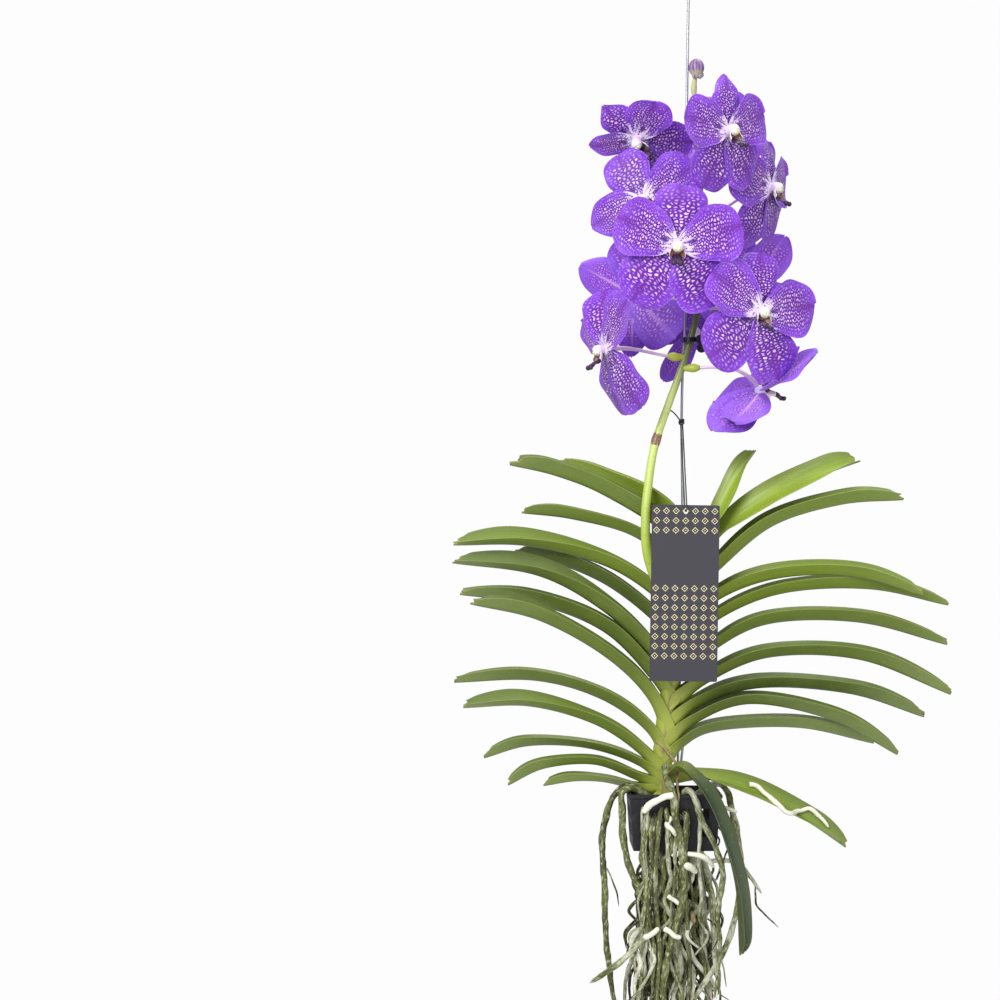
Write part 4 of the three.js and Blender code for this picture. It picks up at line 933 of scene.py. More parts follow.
def tepalSkin(kind, own, sweep, size, rng):
    angle, length, width, start, rise, fall, curl, point = tepals[kind]
    length *= size * own.get("length", 1)
    full = width * size * own.get("width", 1) / 2
    turn, lean = math.radians(angle + own.get("turn", 0)), math.radians(sweep + own.get("sweep", 0))
    outward = np.array([math.cos(turn) * math.cos(lean), math.sin(turn) * math.cos(lean), -math.sin(lean)])
    level = np.array([-math.sin(turn), math.cos(turn), 0])
    twist = math.radians(own.get("twist", 0))
    across = level * math.cos(twist) + np.cross(outward, level) * math.sin(twist)
    face = np.cross(outward, across)
    rows = 1 - (1 - np.linspace(0, 1, tepalForm["rows"])) ** 1.7
    columns = np.sin(np.linspace(1, -1, tepalForm["columns"]) * np.pi / 2)
    u, c = np.meshgrid(rows, columns, indexing="ij")
    broad = tepalWidth(u, own.get("bluntness", tepalForm["bluntness"]))
    half = mix(tepalForm["claw"], full, broad)
    phase = rng.uniform(0, 2 * np.pi, 3)
    lift = length * (rise * u - fall * u * u) - curl * c * c * half
    ruffle = np.abs(c) ** 3 * np.sin(2 * np.pi * 1.6 * u + phase[0] + 1.3 * np.sign(c)) * u
    lift += tepalForm["wave"] * size * ruffle
    lift += rng.uniform(-0.07, 0.07) * c * half * u  # each tepal is a little turned
    lift -= tepalForm["groove"] * np.exp(-(c / 0.07) ** 2) * (1 - u) * u ** 0.3
    lift += 0.16 * np.cos(2 * np.pi * tepalForm["veins"][0] * c) * (1 - u ** 4) * smoothStep(0.1, 0.3, u)
    reach = length * u + point * np.exp(-(c / 0.16) ** 2) * smoothStep(0.86, 1, u)
    reach += np.sin(7 * c + phase[1]) * smoothStep(0.75, 1, u) * half / full
    spread = half * c * (1 + 0.04 * np.sin(11 * u + phase[2] + c))
    upper = start * up + reach[..., None] * outward + spread[..., None] * across + lift[..., None] * face
    thick = tepalForm["thickness"] * (1 - 0.7 * np.abs(c) ** 4) * (1 - 0.5 * u ** 3)
    lower = upper - thick[..., None] * face
    seed = rng.uniform(10, 390) + tepalForm["petalSeed"] * kind.endswith("Petal")
    place = stacked(reach, spread, u)
    trait = bothFaces(stacked(c, 1, seed), stacked(c, 0, seed))
    return skin(bothFaces(upper, lower), place=bothFaces(place, place), trait=trait, strip=True)


def bloomAxes(azimuth, elevation, roll):
    turn, tip, rolled = (math.radians(a) for a in (azimuth, elevation, roll))
    out = np.array([math.sin(turn) * math.cos(tip), -math.cos(turn) * math.cos(tip), math.sin(tip)])
    level = unit(np.cross(up, out))
    dorsal = np.cross(out, level)
    right = level * math.cos(rolled) + dorsal * math.sin(rolled)
    return np.stack([right, np.cross(out, right), out])


def pedicelLine(name, centre, foot, out, count):
    start = spikePointAt(foot)
    hub = np.array(centre, float)
    span = np.linalg.norm(hub - start)
    level = (hub - start) * (1, 1, 0)
    away = np.array(leavingSideways.get(name, unit(level)), float)
    shares = np.linspace(0, 1, count)
    return bezierPoints(start, start + away * 0.4 * span, hub - out * 0.45 * span, hub - out * 3, shares)


# The heart, in the bloom's own frame: column and cap, cupped side lobes and a dark fleshy lip.
heart = {
    "column": [(0, 0.5, 1), (0, 0.4, 3.4), (0, 0.1, 6), (0, -0.4, 8.2), (0, -0.9, 9.8), (0, -1.3, 10.6)],
    "columnWidth": (3.9, 4.2, 4.6, 4.8, 3.8, 1.2),
    "cap": ((0, -1.3, 9.6), (3.2, 2.8, 1.7)),
    "pollen": ((1.2, -1.4, 10.7), (1.1, 1.5, 0.8)),
    "throat": ((0, -5.2, 4.4), (3.2, 2.8, 1.7)),
    "lip": [(0, -3, 3.4), (0, -6.4, 5.8), (0, -8.6, 9), (0, -9.6, 12.4), (0, -11, 15.4), (0, -13, 17.6)],
    "lipWidth": (2.2, 3.2, 4.6, 5.9, 5.2, 3),
    "lipThickness": (1.4, 1.6, 1.7, 1.6, 1.4, 0.9),
    "knob": ((2.7, -13.2, 17.2), (2.2, 2.2, 1.9)),
    "earFoot": (2.2, -3.4, 4.4),
    "earTip": (6.6, -6.8, 9.6),
    "earHalf": (2.4, 3.6),
}


# Heart flesh: waxy cream with a lilac flush, and yellow to brown inside the throat.
def heartMaterial():
    m = Finish("waxy cream flesh", Roughness=0.35, Subsurface_Weight=0.2, Subsurface_Scale=0.003)
    pollen, _, throat = m.parts(m.vector("trait"))
    flush = m.noise(m.onObject(), 500, 2)
    collar = m.ramp(m.parts(m.vector("place"))[2], 0.3, 0.75, 0.8, 0)
    brown = m.coats("#8A5E1C", (flush, "#4E2330"))
    return m.done(m.coats(
        "#EFE9DC", (flush, "#E8D8E4"), (collar, "#D6B4DC"), (pollen, "#E6E6A4"), (throat, brown),
    ))


# Lip flesh: nearly black purple, with a soft wet gloss on its ridges.
def lipMaterial():
    m = Finish("dark purple lip", Roughness=0.42, Specular_IOR_Level=0.4)
    grain = m.noise(m.onObject(), 900, 3)
    return m.done(m.coats("#24132F", (grain, "#46254F")), bump=(grain, 0.4, 0.0004))


def heartSkins():
    shares = np.linspace(0, 1, 26)
    widths = spreadOver(heart["columnWidth"], shares)
    skins = [
        skin(tubeRings(splinePoints(heart["column"], shares), widths, 20, 0.94)),
        skin(blobRings(*heart["cap"]), place=(0, 0, 1), trait=(0.35, 1, 0)),
        skin(blobRings(*heart["throat"]), place=(0, 0, 1), trait=(0, 1, 1)),
        earSkin(-1), earSkin(1),
    ]
    for sign in (-1, 1):
        place, radii = heart["pollen"]
        skins.append(skin(blobRings(mirrored(place, sign), radii, 8, 12), place=(0, 0, 1), trait=(1, 1, 0)))
        place, radii = heart["knob"]
        skins.append(skin(blobRings(mirrored(place, sign), radii, 9, 14), paint=1))

    # Lip: arched across, with a groove between two ridges, ending in two knobs
    shares = np.linspace(0, 1, 30)
    line = splinePoints(heart["lip"], shares)
    half, thick = (spreadOver(heart[key], shares)[:, None] for key in ("lipWidth", "lipThickness"))
    normal = np.array([unit(np.cross(unit(t), (1, 0, 0))) for t in np.gradient(line, axis=0)])[:, None]
    c = np.sin(np.linspace(1, -1, 15) * np.pi / 2)
    ridge = 0.9 * np.exp(-((np.abs(c) - 0.35) / 0.2) ** 2) - 1.1 * c ** 2
    bumps = (1 + 0.35 * np.sin(shares * 16)) * smoothStep(0, 0.3, shares)
    upper = line[:, None] + (half * c)[..., None] * (1, 0, 0) + (ridge * bumps[:, None])[..., None] * normal
    lower = upper - (thick * (1 - 0.6 * np.abs(c) ** 3))[..., None] * normal
    skins.append(skin(bothFaces(upper, lower), paint=1, strip=True))
    return skins


def mirrored(place, sign):
    return np.array(place) * (sign, 1, 1)


# One side lobe, a shell that cups round the throat, yellow brown on its inside.
def earSkin(sign):
    foot, tip = mirrored(heart["earFoot"], sign), mirrored(heart["earTip"], sign)
    s, t = np.meshgrid(np.linspace(0, 1, 14), np.linspace(1, -1, 11), indexing="ij")
    half = mix(*heart["earHalf"], np.sin(s * np.pi * 0.62)) * (1 - 0.75 * smoothStep(0.72, 1, s) * np.abs(t))
    bulge = sign * (1.5 * (1 - t * t) * np.sin(np.pi * np.clip(s * 0.9 + 0.08, 0, 1)))
    outer = foot + s[..., None] * (tip - foot) + stacked(bulge, half * t, -0.5 * t * t)
    inner = outer - np.array([sign * 0.8, 0, -0.05]) * (1 - 0.5 * np.abs(t))[..., None]
    if sign > 0:
        outer, inner = outer[:, ::-1], inner[:, ::-1]
    throat = bothFaces(np.zeros(s.shape), np.full(s.shape, 0.9))
    return skin(bothFaces(outer, inner), place=(0, 0, 0.62), trait=stacked(0, 1, throat), strip=True)


def placed(part, axes, centre):
    return {**part, "rings": part["rings"] @ axes + np.array(centre, float)}


# The hub that the tepals grow from, and the pedicel with what its ovary adds to the radius
hub = {
    "line": [(0, 0, z) for z in (-4.6, -4, -3, -1.5, 0, 1.4, 2.2, 2.6)],
    "radii": [1.8, 2.6, 3.6, 4.4, 4.7, 4.4, 3.4, 1.5],
    "sides": 18,
}
pedicel = {"radius": 1.35, "ovary": 0.55, "ridge": 0.09, "rows": 34, "sides": 18}


def pedicelSkin(line):
    shares = np.linspace(0, 1, len(line))[:, None]
    girth = pedicel["radius"] + pedicel["ovary"] * smoothStep(0.45, 0.95, shares)
    ridges = 1 + pedicel["ridge"] * np.cos(6 * (fullTurn(pedicel["sides"]) + 3.2 * shares))
    return skin(tubeRings(line, girth * ridges, pedicel["sides"]), paint=1)


def addBlooms():
    materials = [tepalMaterial(), pedicelMaterial()]
    heartMaterials = [heartMaterial(), lipMaterial()]
    heartParts = heartSkins()
    hubRings = tubeRings(hub["line"], hub["radii"], hub["sides"])
    rng = np.random.default_rng(12)
    for name, centre, size, foot, bract, azimuth, elevation, roll, sweep in blooms:
        axes = bloomAxes(azimuth, elevation, roll)
        own = ownForms.get(name, {})
        parts = [tepalSkin(kind, own.get(kind, {}), sweep, size, rng) for kind in tepals]
        parts.append(skin(hubRings, place=(3, 0, 0.02), trait=(0.6, 1, 1)))
        skins = [placed(part, axes, centre) for part in parts]
        skins.append(pedicelSkin(pedicelLine(name, centre, foot, axes[2], pedicel["rows"])))
        buildPiece(name.replace("bloom", "flower"), skins, materials, "tepal_violet", name)
        parts = [placed(part, axes, centre) for part in heartParts]
        buildPiece(name.replace("bloom", "heart"), parts, heartMaterials, "heart_cream", name + "_lip")


# A bract wraps the foot of its pedicel, which runs along the line.
def bractSkin(line, bract):
    reach = spike["radii"][0] + bract + 2
    t = np.linspace(0, 1, spike["bractRows"])
    picked = line[np.searchsorted(lengthsAlong(line), t * reach)]
    belly = 0.3 if bract < spike["longBract"] else 0.75
    girth = spike["bractRadius"] * (0.8 + belly * np.sin(np.pi * t ** 1.5) - 0.2 * t)
    part = skin(tubeRings(picked, girth, spike["bractSides"]), trait=(0.85, 1, 0))
    part["place"] = part["place"] * (1, 1, 0)
    return part


def addSpike():
    rows, sides = spike["rows"], spike["sides"]
    share = np.linspace(0, 1, rows)[:, None]
    points = splinePoints(spike["axis"], share[:, 0])
    height, halfBand, proud = spike["scar"]
    band = np.clip(1 - np.abs(points[:, 2:] - height) / halfBand, 0, 1)
    radii = mix(*spike["radii"], share) + proud * np.sqrt(band)
    rough = np.random.default_rng(5).uniform(-1, 1, (rows, sides))
    uneven = 1 + 0.02 * np.cos(3 * fullTurn(sides) + 9 * share) + 0.05 * band * rough
    skins = [skin(tubeRings(points, radii * uneven, sides), trait=stacked(0, 1, smoothStep(0.05, 0.3, band)))]
    for name, centre, size, foot, bract, *turns, sweep in blooms:
        skins.append(bractSkin(pedicelLine(name, centre, foot, bloomAxes(*turns)[2], 200), bract))
    buildPiece("flowerStalk", skins, [spikeMaterial()], "spike_green", "flower_spike")


addBlooms()
addSpike()
print("flowers done")


# Bud

bud = {
    "centre": (6.5, -4, 606),
    "radius": 6.8,
    "length": 1.12,
    "folds": [  # centre from the bud's own, and radius
        ((2.6, -2.6, -7.4), 1.9), ((0.2, -3.2, -7.2), 1.7), ((4.6, -0.6, -6), 1.6), ((-2.4, -1.6, -7), 1.5),
    ],
    "ovary": 1.1,
    "seam": 0.07,  # depth of the three seams between its sepals, to its radius
    "rows": 20,
    "sides": 24,
    "foot": (6, 0, 578),
    "stalk": [(4.5, 0, 588), (5.5, -2, 598)],
}


# Bud skin: dusty mauve, greenish at its base, with darker veins.
def budMaterial():
    m = Finish("dusty mauve bud", Roughness=0.5, Subsurface_Weight=0.12, Subsurface_Scale=0.002)
    place = m.vector("place")
    streaks = m.ramp(m.noise(m.stretched(place, 0.06, 0.55, 0), 1, 3), 0.4, 0.6)
    low = m.soft(m.parts(place)[2], 0.05, 0.45, 0.9, 0)
    return m.done(m.coats("#9C80A8", (streaks, "#55386A"), (low, "#C3C68A")))


def addBud():
    centre, radius = np.array(bud["centre"], float), bud["radius"]
    polar = np.linspace(np.pi - 0.08, 0.08, bud["rows"])[:, None]
    turns = fullTurn(bud["sides"])
    seams = 1 - bud["seam"] * np.abs(np.cos(1.5 * turns)) ** 8 * np.sin(polar)
    girth = radius * np.sin(polar) * seams
    z = radius * bud["length"] * np.cos(polar)
    rings = centre + stacked(girth * np.cos(turns), girth * np.sin(turns), z)
    skins = [skin(rings, place=stacked(z, turns * radius, (1 + np.cos(polar)) / 2))]
    for offset, small in bud["folds"]:
        skins.append(skin(blobRings(centre + offset, (small, small, small * 1.3), 8, 12), place=(0, 0, 0.3)))
    shares = np.linspace(0, 1, 24)
    line = splinePoints([bud["foot"], *bud["stalk"], centre - radius * up], shares)
    girths = 1.3 + 0.5 * shares + bud["ovary"] * np.exp(-((shares - 0.36) / 0.2) ** 2)
    skins.append(skin(tubeRings(line, girths, 14), place=(0, 0, 0.1)))
    buildPiece("flowerBud", skins, [budMaterial()], "bud_mauve", "bud")


addBud()
print("bud done")


# Roots

rootForm = {
    "crown": ((-21, 0, -15), (14, 13, 11)),  # centre and radii
    "crownTone": 0.35,
    "sides": (12, 9),  # of a stout root and of a thin one
    "stout": 2.4,  # radius from which a root counts as stout
    "samples": 7,  # for each point of a route
    "tipShare": 0.35,
    "bluntShare": 0.55,
    "wobble": 0.5,
    "swaying": (31, 13),  # lengths of the two waves in a route
    "swelling": (23, 7),  # lengths from one swelling to the next
    "speck": (4.0, 1.5),  # along and across
    "patch": 21,
}
# Radius, tone, route. Tone is 0 on a dead brown root, 0.5 on a damp green one and 1 on a dry white
# one, and below 0 it turns to a dry tan.
outerRoots = [
    (3.4, 0.44, [
        (-20, -6, 20), (-19, -20, 12), (-17, -36, 5.5), (-15, -44, -3), (-13, -43.5, -22), (-8, -42, -46),
        (-6, -40, -70), (-9, -37, -95), (-18, -34, -128), (-23, -32, -160), (-21, -30, -200),
        (-24, -28, -238),
    ]),
    (2.8, 0.38, [
        (-24, -4, -14), (-36, -7, -3), (-47, -10, 3.6), (-58, -12, 2), (-68, -13, -14), (-73, -13, -42),
        (-71, -12, -76), (-70, -12, -118), (-66, -10, -155), (-61, -8, -190), (-58, -6, -228),
    ]),
    (3.0, 0.42, [
        (-24, -8, -16), (-36, -18, -4), (-48, -24, 4.2), (-56.5, -27, 1), (-57, -28, -14), (-55, -29, -45),
        (-47, -30, -70), (-34, -30, -95), (-28, -28, -120), (-31, -26, -160), (-34, -24, -205),
    ]),
    (2.6, 0.5, [
        (-16, -8, -14), (-8, -26, -4), (-3, -38, 3.8), (2, -43.5, -2), (9, -43.5, -22), (20, -42, -44),
        (26, -38, -68), (22, -34, -98), (24, -30, -130), (20, -26, -170),
    ]),
    (2.8, 0.58, [
        (-14, 6, -16), (6, 12, -6), (22, 14, 3.6), (33, 14, -2), (40, 10, -30), (44, 0, -62), (40, -12, -98),
        (28, -20, -132), (10, -26, -160), (-3, -28, -182), (-10, -28, -220),
    ]),
    (2.6, 0.6, [(-24, -10, -84), (-34, -30, -112), (-54, -36, -134), (-72, -36, -148), (-84, -34, -156)]),
    (2.0, 0.72, [(14, 0, -60), (34, 6, -60), (47.5, 8, -68), (55, 8, -77), (62, 8, -88)]),
    (1.9, 0.52, [
        (-24, -10, -10), (-34, -30, -13), (-38.5, -40.5, -19), (-40, -42, -32), (-40, -39, -52),
        (-38, -35, -80), (-36, -32, -115), (-41, -30, -150), (-38, -28, -196),
    ]),
    (1.7, 0.45, [
        (-20, -10, -12), (-28, -30, -14), (-33, -41.5, -24), (-34, -42, -40), (-33, -38, -62),
        (-36, -34, -95), (-30, -32, -130), (-33, -30, -172),
    ]),
    (2.1, 0.42, [
        (-20, -12, -10), (-24, -32, -10), (-26.5, -42.5, -18), (-28, -42.5, -34), (-30, -39, -60),
        (-29, -36, -92), (-26, -34, -130), (-28, -32, -170), (-25, -30, -214),
    ]),
]
# Short fresh side roots, blunt and white: radius and route
sideRoots = [
    (2.8, [(-16, -44, 0), (-22.4, -45.5, -1), (-31, -46.5, -4.5), (-37, -46, -9.5), (-40.5, -45, -14.2)]),
    (2.1, [(-17, -42, -18), (-20.5, -44, -23.3), (-16.5, -45.5, -28), (-13.3, -45, -33.2)]),
    (2.3, [(-3, -40, -48.5), (2.5, -42, -49), (10, -43.5, -50.5), (15, -42, -55), (18, -40, -60)]),
    (2.9, [(-9, -39, -54), (-6.5, -41, -56.7), (-1, -43, -59.5), (4.2, -42, -64)]),
    (2.5, [(-38, -36, -118), (-36, -38, -116.7), (-31, -39, -113), (-27, -39, -110)]),
    (2.4, [(-22, -36, -111), (-18.7, -38, -112.5), (-13.5, -39, -116.5), (-8.7, -38, -118.3)]),
    (2.1, [(-19, -34, -84), (-16, -36, -86), (-10.5, -37, -90.5), (-5.4, -36, -94.4)]),
    (1.8, [(20, 12, -14), (31, 10, -16), (36, 9.5, -17.5), (41.6, 9, -20)]),
]
# Dead roots, thin and wiry: radius, tone and route
wiryRoots = [
    (1.25, -0.5, [
        (-28, -12, 41), (-23, -14, 38), (-15, -15, 29), (-10.5, -16, 21), (-10, -18, 14), (-11, -26, 7),
        (-11, -40, 0), (-11, -42, -12),
    ]),
    (2.4, -0.3, [(0, -28, -99), (2, -34, -103), (2.8, -40, -104.5)]),
    (0.8, 0.1, [(57, 8, -80), (57, 7, -90), (58, 6, -98), (67, 5, -107.5), (76, 4, -116)]),
    (0.7, 0.1, [(24, 12, -30), (34, 8, -44), (31, 4, -56), (24, 0, -76)]),
    (0.7, 0.1, [(-69, -13, -64), (-66, -15, -70), (-61, -16, -84), (-59, -15, -96)]),
    (0.7, 0.1, [(14, -26, -104), (21, -30, -110), (22, -30, -120), (18, -28, -130)]),
    (0.9, 0.1, [(22, 14, -36), (27, 12, -44), (23, 10, -54), (27, 8, -66), (22, 6, -80)]),
]
# The white root that crept over a leaf, in x and z, from its papery brown start
leafRoot = {
    "leaf": "leaf_right_11",
    "radius": 2.1,
    "route": [(51, 5), (58, 3), (66, -4), (81.5, -17), (92, -17.5), (101.6, -15.5), (110, -22), (117.5, -31)],
}
innerRoots = {
    "count": 13,
    "seed": 7,
    "radius": (1.9, 3),
    "tone": (0.35, 0.75),
    "bottom": (-235, -165),
    "spread": (30, 22),
    "wander": 5,
    "start": 5,
    "gate": 16,  # where they pass the basket's floor, from its middle
    "gatePlay": 7,
    "hang": (14, 8),
    "shoulder": 14,
    "centre": (-13.4, 0),
    "floor": -47,
}
# Count, radius, tone, and how far to the front and the back the feet hang
thinRoots = [
    (22, (1.7, 2.8), (0.4, 1.0), (-36, -12)),
    (28, (1.2, 2.3), (0.2, 0.65), (-24, 28)),
    (56, (0.9, 1.9), (-0.05, 0.15), (-14, 20)),
]
thinForm = {
    "bottom": (-228, -118),
    "gate": (9, 20),  # where they pass the basket's floor, from its middle
    "gateDepth": 24,
    "spread": 40,
    "wander": (6, 3),
    "start": (-21, -18),  # in x and z
    "shoulder": -30,
}
# Roots that come out of the basket's front window and hang before it
windowRoots = {
    "count": 13,
    "radius": (0.8, 2.1),
    "tone": (0.1, 0.75),
    "window": (-43, 8),  # from and to, in x
    "height": (-22, -14),
    "face": -41.5,
    "inside": -30,  # y of the bend behind the wall, and of the feet
    "start": (-21, -12, -12),
    "bottom": (-215, -85),
    "wander": 3,
}


# Velamen, the spongy skin of an aerial root: matt, silvery where dry and green where damp, with
# small pale dashes along it. Dead roots are brown.
def rootMaterial():
    m = Finish("root velamen", Roughness=0.72, Specular_IOR_Level=0.3)
    tone, _, seed = m.parts(m.vector("trait"))
    here = m.add("VectorMath", {0: m.vector("place"), 1: m.join(0, 0, seed)}, operation="ADD")
    dashes = m.noise(m.stretched(here, *(1 / mm for mm in rootForm["speck"]), 1), 1, 2)
    patches = m.noise(m.onObject(), 1000 / rootForm["patch"], 4)
    uneven = m.difference(m.maths("MULTIPLY_ADD", patches, 1.1, tone), 0.52)
    dried = m.ramp(uneven, 0.5, 1)
    green = m.coats(
        "#2E271B",  # dead
        (m.ramp(uneven, 0.12, 0.5), "#6F7646"),  # damp
        (dried, "#EEEDDC"),
        (m.ramp(dashes, 0.56, 0.68, 0, 0.55), "#D6DBB4"),
        (m.ramp(tone, -0.4, 0, 0.9, 0), "#A4906A"),  # dry tan
        # Dirt, and painted shade in the low places of the bump
        (m.ramp(dashes, 0.38, 0.49, m.ramp(dried, 0, 1, 0.7, 0.12), 0), "#3C3B24"),  # dirt and painted shade
    )
    return m.done(green, bump=(dashes, 0.7, 0.0008))


def rootSkin(route, radius, tone, rng, blunt=False):
    shares = np.linspace(0, 1, rootForm["samples"] * len(route))
    points = splinePoints(route, shares)
    along = lengthsAlong(points)
    fade = np.minimum(1, np.minimum(shares, 1 - shares) * 6)[:, None]
    for wave in rootForm["swaying"]:
        phase = rng.uniform(0, 2 * np.pi, 3)
        sway = np.sin(2 * np.pi * along[:, None] / wave + phase) * min(radius, 2) * 0.2
        points = points + sway * fade * rootForm["wobble"]
    taper = mix(1, rootForm["bluntShare" if blunt else "tipShare"], shares ** 6)
    slow, quick = (2 * np.pi * along / wave for wave in rootForm["swelling"])
    swell = 1 + 0.09 * np.sin(slow + rng.uniform(0, 6)) + 0.03 * np.sin(quick)
    radii = radius * taper * swell
    radii[-2:] *= (0.85, 0.45)
    sides = rootForm["sides"][radius < rootForm["stout"]]
    turns, along = fullTurn(sides), along[:, None]
    uneven = 1 + 0.06 * np.cos(2 * turns + along / 9) + 0.035 * np.cos(3 * turns - along / 5)
    return skin(tubeRings(points, radii[:, None] * uneven, sides), trait=(tone, 1, rng.uniform(0, 300)))


# The same draws as in the part's source, so that these roots lie where its solids are.
def sourceRandom(seed):
    state = seed
    while True:
        state = (state * 1664525 + 1013904223) % 4294967296
        yield state / 4294967296


def innerRoute(draw, index):
    x, y = innerRoots["centre"]
    crownX, _, crownZ = rootForm["crown"][0]
    quarterX = -1 if index % 2 == 0 else 1
    quarterY = -1 if index % 4 < 2 else 1
    wander = innerRoots["wander"]

    def jitter(size):
        return size * (2 * next(draw) - 1)

    reach, play = innerRoots["gate"], innerRoots["gatePlay"]
    gate = (x + quarterX * reach + jitter(play), y + quarterY * reach + jitter(play))
    spread, hang = innerRoots["spread"], innerRoots["hang"]
    foot = (x + quarterX * hang[0] + jitter(spread[0]), quarterY * hang[1] + jitter(spread[1]))
    bottom = mix(*innerRoots["bottom"], next(draw))
    start = innerRoots["start"]
    route = [
        (crownX + quarterX * start, quarterY * start, crownZ),
        (mix(crownX, gate[0], 0.7), mix(0, gate[1], 0.7), crownZ - innerRoots["shoulder"]),
        (*gate, innerRoots["floor"]),
    ]
    for n in range(1, 5):
        share = n / 4
        across = mix(gate[0], foot[0], share) + jitter(wander)
        deep = mix(gate[1], foot[1], share) + jitter(wander)
        route.append((across, deep, mix(innerRoots["floor"], bottom, share)))
    return route


def thinRoute(depth, rng):
    x = innerRoots["centre"][0]
    gateX = x + rng.choice([-1, 1]) * rng.uniform(*thinForm["gate"])
    footX, footY = x + rng.uniform(-1, 1) * thinForm["spread"], rng.uniform(*depth)
    gateY = np.clip(0.8 * footY, -thinForm["gateDepth"], thinForm["gateDepth"])
    bottom = rng.uniform(*thinForm["bottom"])
    startX, startZ = thinForm["start"]
    shoulder = (mix(startX, gateX, 0.7), 0.7 * gateY, thinForm["shoulder"])
    route = [(startX, 0, startZ), shoulder, (gateX, gateY, innerRoots["floor"])]
    wander, deepWander = thinForm["wander"]
    count = 5 + int(rng.integers(0, 3))
    for n in range(1, count + 1):
        share = n / count
        route.append((
            mix(gateX, footX, share) + rng.normal(0, wander),
            mix(gateY, footY, share) + rng.normal(0, deepWander),
            mix(innerRoots["floor"], bottom, share),
        ))
    return route


def windowRoute(rng):
    x = rng.uniform(*windowRoots["window"])
    height, bottom = rng.uniform(*windowRoots["height"]), rng.uniform(*windowRoots["bottom"])
    face = windowRoots["face"] - rng.uniform(0, 2)
    inside, (startX, startY, startZ) = windowRoots["inside"], windowRoots["start"]
    route = [
        (mix(startX, x, 0.4), startY, startZ),
        (mix(startX, x, 0.85), inside, height + 4),
        (x, face, height - 2),
    ]
    for n in range(1, 7):
        share = n / 6
        across = x + rng.normal(0, windowRoots["wander"])
        route.append((across, mix(face, inside, share ** 0.7), mix(height - 18, bottom, share)))
    return route


# Where a leaf's front is met at x and z
def leafFront(name, x, z):
    points = leafSkins[name]["rings"].reshape(-1, 3)
    near = points[np.argsort(np.hypot(points[:, 0] - x, points[:, 2] - z))[:6]]
    return np.array([x, near[:, 1].min(), z])


def addRoots():
    rng = np.random.default_rng(31)
    centre, radii = rootForm["crown"]
    crownRings = blobRings(centre, radii, 20, 28)
    crownRings += 0.7 * np.sin(crownRings[..., [1, 2, 0]] * 0.9)
    skins = [skin(crownRings, trait=(rootForm["crownTone"], 1, 40))]

    def grow(route, radius, tone, **more):
        skins.append(rootSkin(route, radius, tone, rng, **more))

    for radius, tone, route in outerRoots:
        grow(route, radius, tone)
    draw = sourceRandom(innerRoots["seed"])
    for n in range(innerRoots["count"]):
        route = innerRoute(draw, n)
        grow(route, mix(*innerRoots["radius"], next(draw)), rng.uniform(*innerRoots["tone"]))
    for count, girths, tones, depth in thinRoots:
        for n in range(count):
            grow(thinRoute(depth, rng), rng.uniform(*girths), rng.uniform(*tones))
    for n in range(windowRoots["count"]):
        girth, tone = rng.uniform(*windowRoots["radius"]), rng.uniform(*windowRoots["tone"])
        grow(windowRoute(rng), girth, tone)
    for radius, route in sideRoots:
        grow(route, radius, 0.98, blunt=True)
    for radius, tone, route in wiryRoots:
        grow(route, radius, tone)
    radius = leafRoot["radius"]
    route = [leafFront(leafRoot["leaf"], x, z) - 0.8 * radius * back for x, z in leafRoot["route"]]
    grow(route, radius, 1.05, blunt=True)
    grow(route[:2], radius * 0.8, -0.5)
    buildPiece("aerialRoots", skins, [rootMaterial()], "root_skin", "roots")


addRoots()
print("roots done")


# Basket

basket = {
    "edge": 0.35,  # radius of the moulded edges
    "spark": 0.5,  # spark-eroded texture of the mould, drawn coarser than it is
    "dust": 9,
}


# Injection moulded polypropylene, black: a dull satin with scuffs and a little pale dust.
def basketMaterial():
    m = Finish("black moulded polypropylene", Specular_IOR_Level=0.5)
    here = m.onObject()
    grain = m.noise(here, 1000 / basket["spark"], 2)
    dust = m.noise(here, 1000 / basket["dust"], 5, Roughness=0.7)
    black = m.coats("#14141B", (m.ramp(dust, 0.5, 0.75, 0, 0.5), "#3A3A42"))
    return m.done(black, bump=(grain, 0.15, 0.0001), Roughness=m.ramp(dust, 0.35, 0.7, 0.38, 0.68))


# A moulded piece: its node's solid with softened edges.
def softenedCopy(name, node, edge, material):
    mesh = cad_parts[node].data.copy()
    mesh.name = name
    mesh.materials.clear()
    mesh.materials.append(material)
    form = bmesh.new()
    form.from_mesh(mesh)
    bmesh.ops.remove_doubles(form, verts=form.verts, dist=1e-6)
    bmesh.ops.dissolve_limit(form, angle_limit=math.radians(1), verts=form.verts, edges=form.edges)
    sharp = [e for e in form.edges if e.is_manifold and e.calc_face_angle(0) > math.radians(30)]
    bmesh.ops.bevel(form, geom=sharp, offset=edge * 0.001, segments=2, affect="EDGES", clamp_overlap=True)
    bmesh.ops.recalc_face_normals(form, faces=form.faces)
    form.to_mesh(mesh)
    form.free()
    mesh.polygons.foreach_set("material_index", [0] * len(mesh.polygons))
    mesh.polygons.foreach_set("use_smooth", [False] * len(mesh.polygons))
    piece = addObject(name, mesh)
    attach(piece, "root")
    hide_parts(node)
    return piece


softenedCopy("slattedBasket", "basket", basket["edge"], basketMaterial())
print("basket done")


# Clip and knot

clip = {"edge": 0.3}
knot = {
    "centre": (-5, 12, 310),
    "wraps": 3,
    "wrapRadius": 1.9,
    "height": 1.6,
    "cord": 0.6,
    "arm": [(-6.5, 10.5, 311), (-12, 5, 317), (-19, -3, 321)],
}


# Glossy ABS, as small snap clips are: black with sharp highlights.
def clipMaterial():
    m = Finish("glossy black ABS", Roughness=0.22)
    return m.done(m.coats("#0E0E11", (m.noise(m.onObject(), 600, 3), "#202024")))


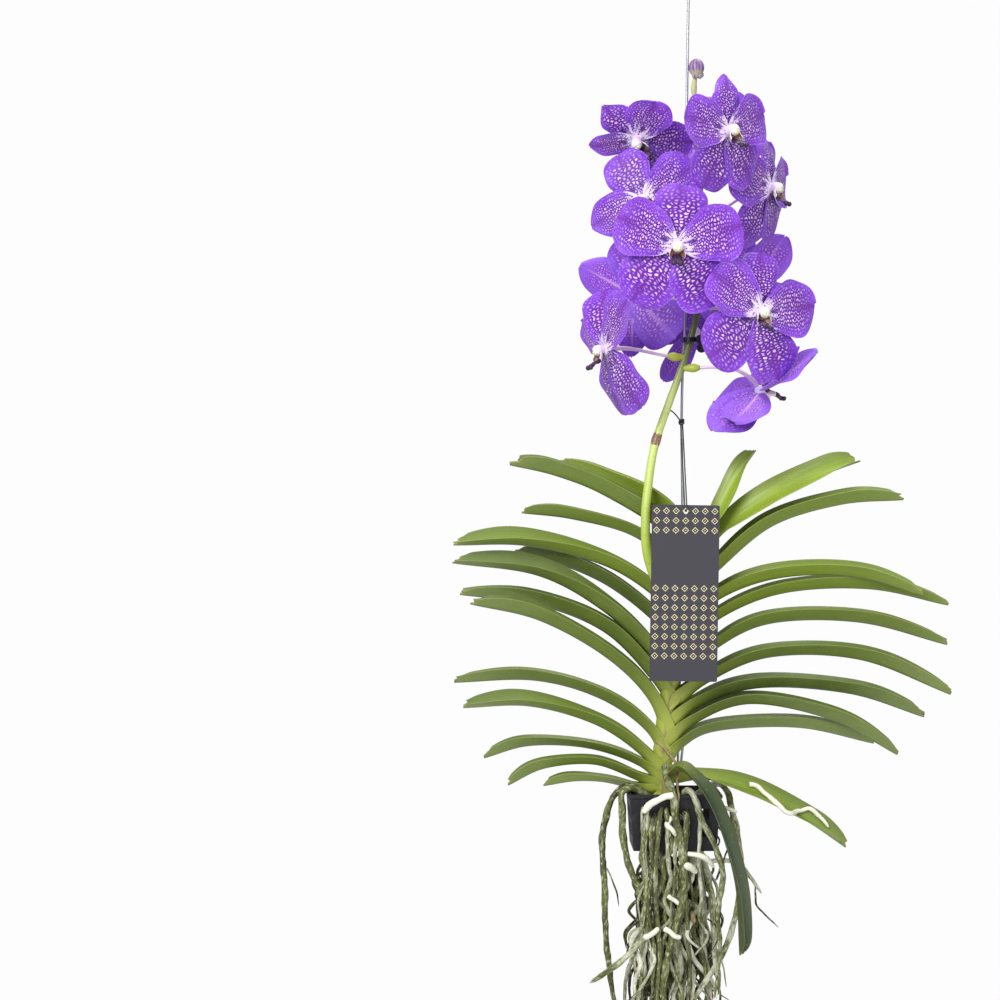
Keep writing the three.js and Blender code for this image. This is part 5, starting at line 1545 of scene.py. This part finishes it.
def addKnot():
    x, y, z = knot["centre"]
    turns = np.linspace(0, 2 * np.pi * knot["wraps"], 80)
    radius, height = knot["wrapRadius"], knot["height"]
    heights = np.linspace(z - height, z + height, 80)
    wraps = stacked(x + radius * np.cos(turns), y + radius * np.sin(turns), heights)
    turns = np.linspace(0, 2 * np.pi, 60)
    bow = stacked(x - 0.4 + 2 * np.sin(turns), y - 2.4 + 0.9 * np.cos(2 * turns), z - 1 + 1.9 * np.cos(turns))
    arm = splinePoints(knot["arm"], np.linspace(0, 1, 16))
    skins = [skin(tubeRings(line, np.full(len(line), knot["cord"]), 10)) for line in (wraps, bow, arm)]
    buildPiece("cordKnot", skins, [cordBlack], "cord_black", "cord_knot")


softenedCopy("stemClip", "stem_clip", clip["edge"], clipMaterial())
addKnot()
print("clip and knot done")


# Tag

tagPrint = {
    "card": ("#35343A", "#3D3B42"),
    "ink": "#DCD3A6",
    "pitch": 8.0,  # between motifs
    "diamond": (2.5, 0.36),  # half diagonal and half of the line
    "dot": 0.6,
    "bands": [(-25, -1), (-129, -65)],  # lowest and highest edge of each printed band, from the top
    "fibre": 0.4,
}


# Printed card, matt laminated: dark grey with a faint paper fibre, motifs in a dull gold ink, and
# bare panels between the bands.
def tagMaterial():
    m = Finish("matt laminated card", Specular_IOR_Level=0.4)
    here = m.onObject()
    local = m.add("VectorMath", {0: here, 1: tuple(toFrame(tag["top"]))}, operation="SUBTRACT")
    turned = {"Vector": local, "Rotation": (0, math.radians(-tag["turn"]), 0), "Scale": (1000, 1000, 1000)}
    x, _, z = m.parts(m.add("Mapping", turned))
    pitch = tagPrint["pitch"]
    inBand = 0
    for low, high in tagPrint["bands"]:
        offset = m.maths("ABSOLUTE", m.difference(z, (low + high) / 2))
        inBand = m.maths("ADD", inBand, m.maths("LESS_THAN", offset, (high - low) / 2))

    # Dotted diamonds in straight rows
    def fromMiddle(position, start):
        cell = m.maths("DIVIDE", m.maths("ADD", position, start), pitch)
        away = m.maths("ABSOLUTE", m.difference(m.maths("FRACT", cell), 0.5))
        return m.product(away, pitch)

    taxi = m.maths("ADD", fromMiddle(x, pitch / 2), fromMiddle(z, -tagPrint["bands"][0][1]))
    ring = m.maths("COMPARE", taxi, *tagPrint["diamond"])
    motif = m.maths("MAXIMUM", ring, m.maths("LESS_THAN", taxi, tagPrint["dot"]))
    printed = m.product(motif, inBand)
    fibre = m.noise(here, 1000 / tagPrint["fibre"], 3)
    dark, light = tagPrint["card"]
    card = m.coats(dark, (fibre, light), (printed, tagPrint["ink"]))
    return m.done(card, bump=(fibre, 0.08, 0.0001), Roughness=m.ramp(printed, 0, 1, 0.55, 0.35))


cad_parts["tag"].data.materials.clear()
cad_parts["tag"].data.materials.append(tagMaterial())
print("tag done")
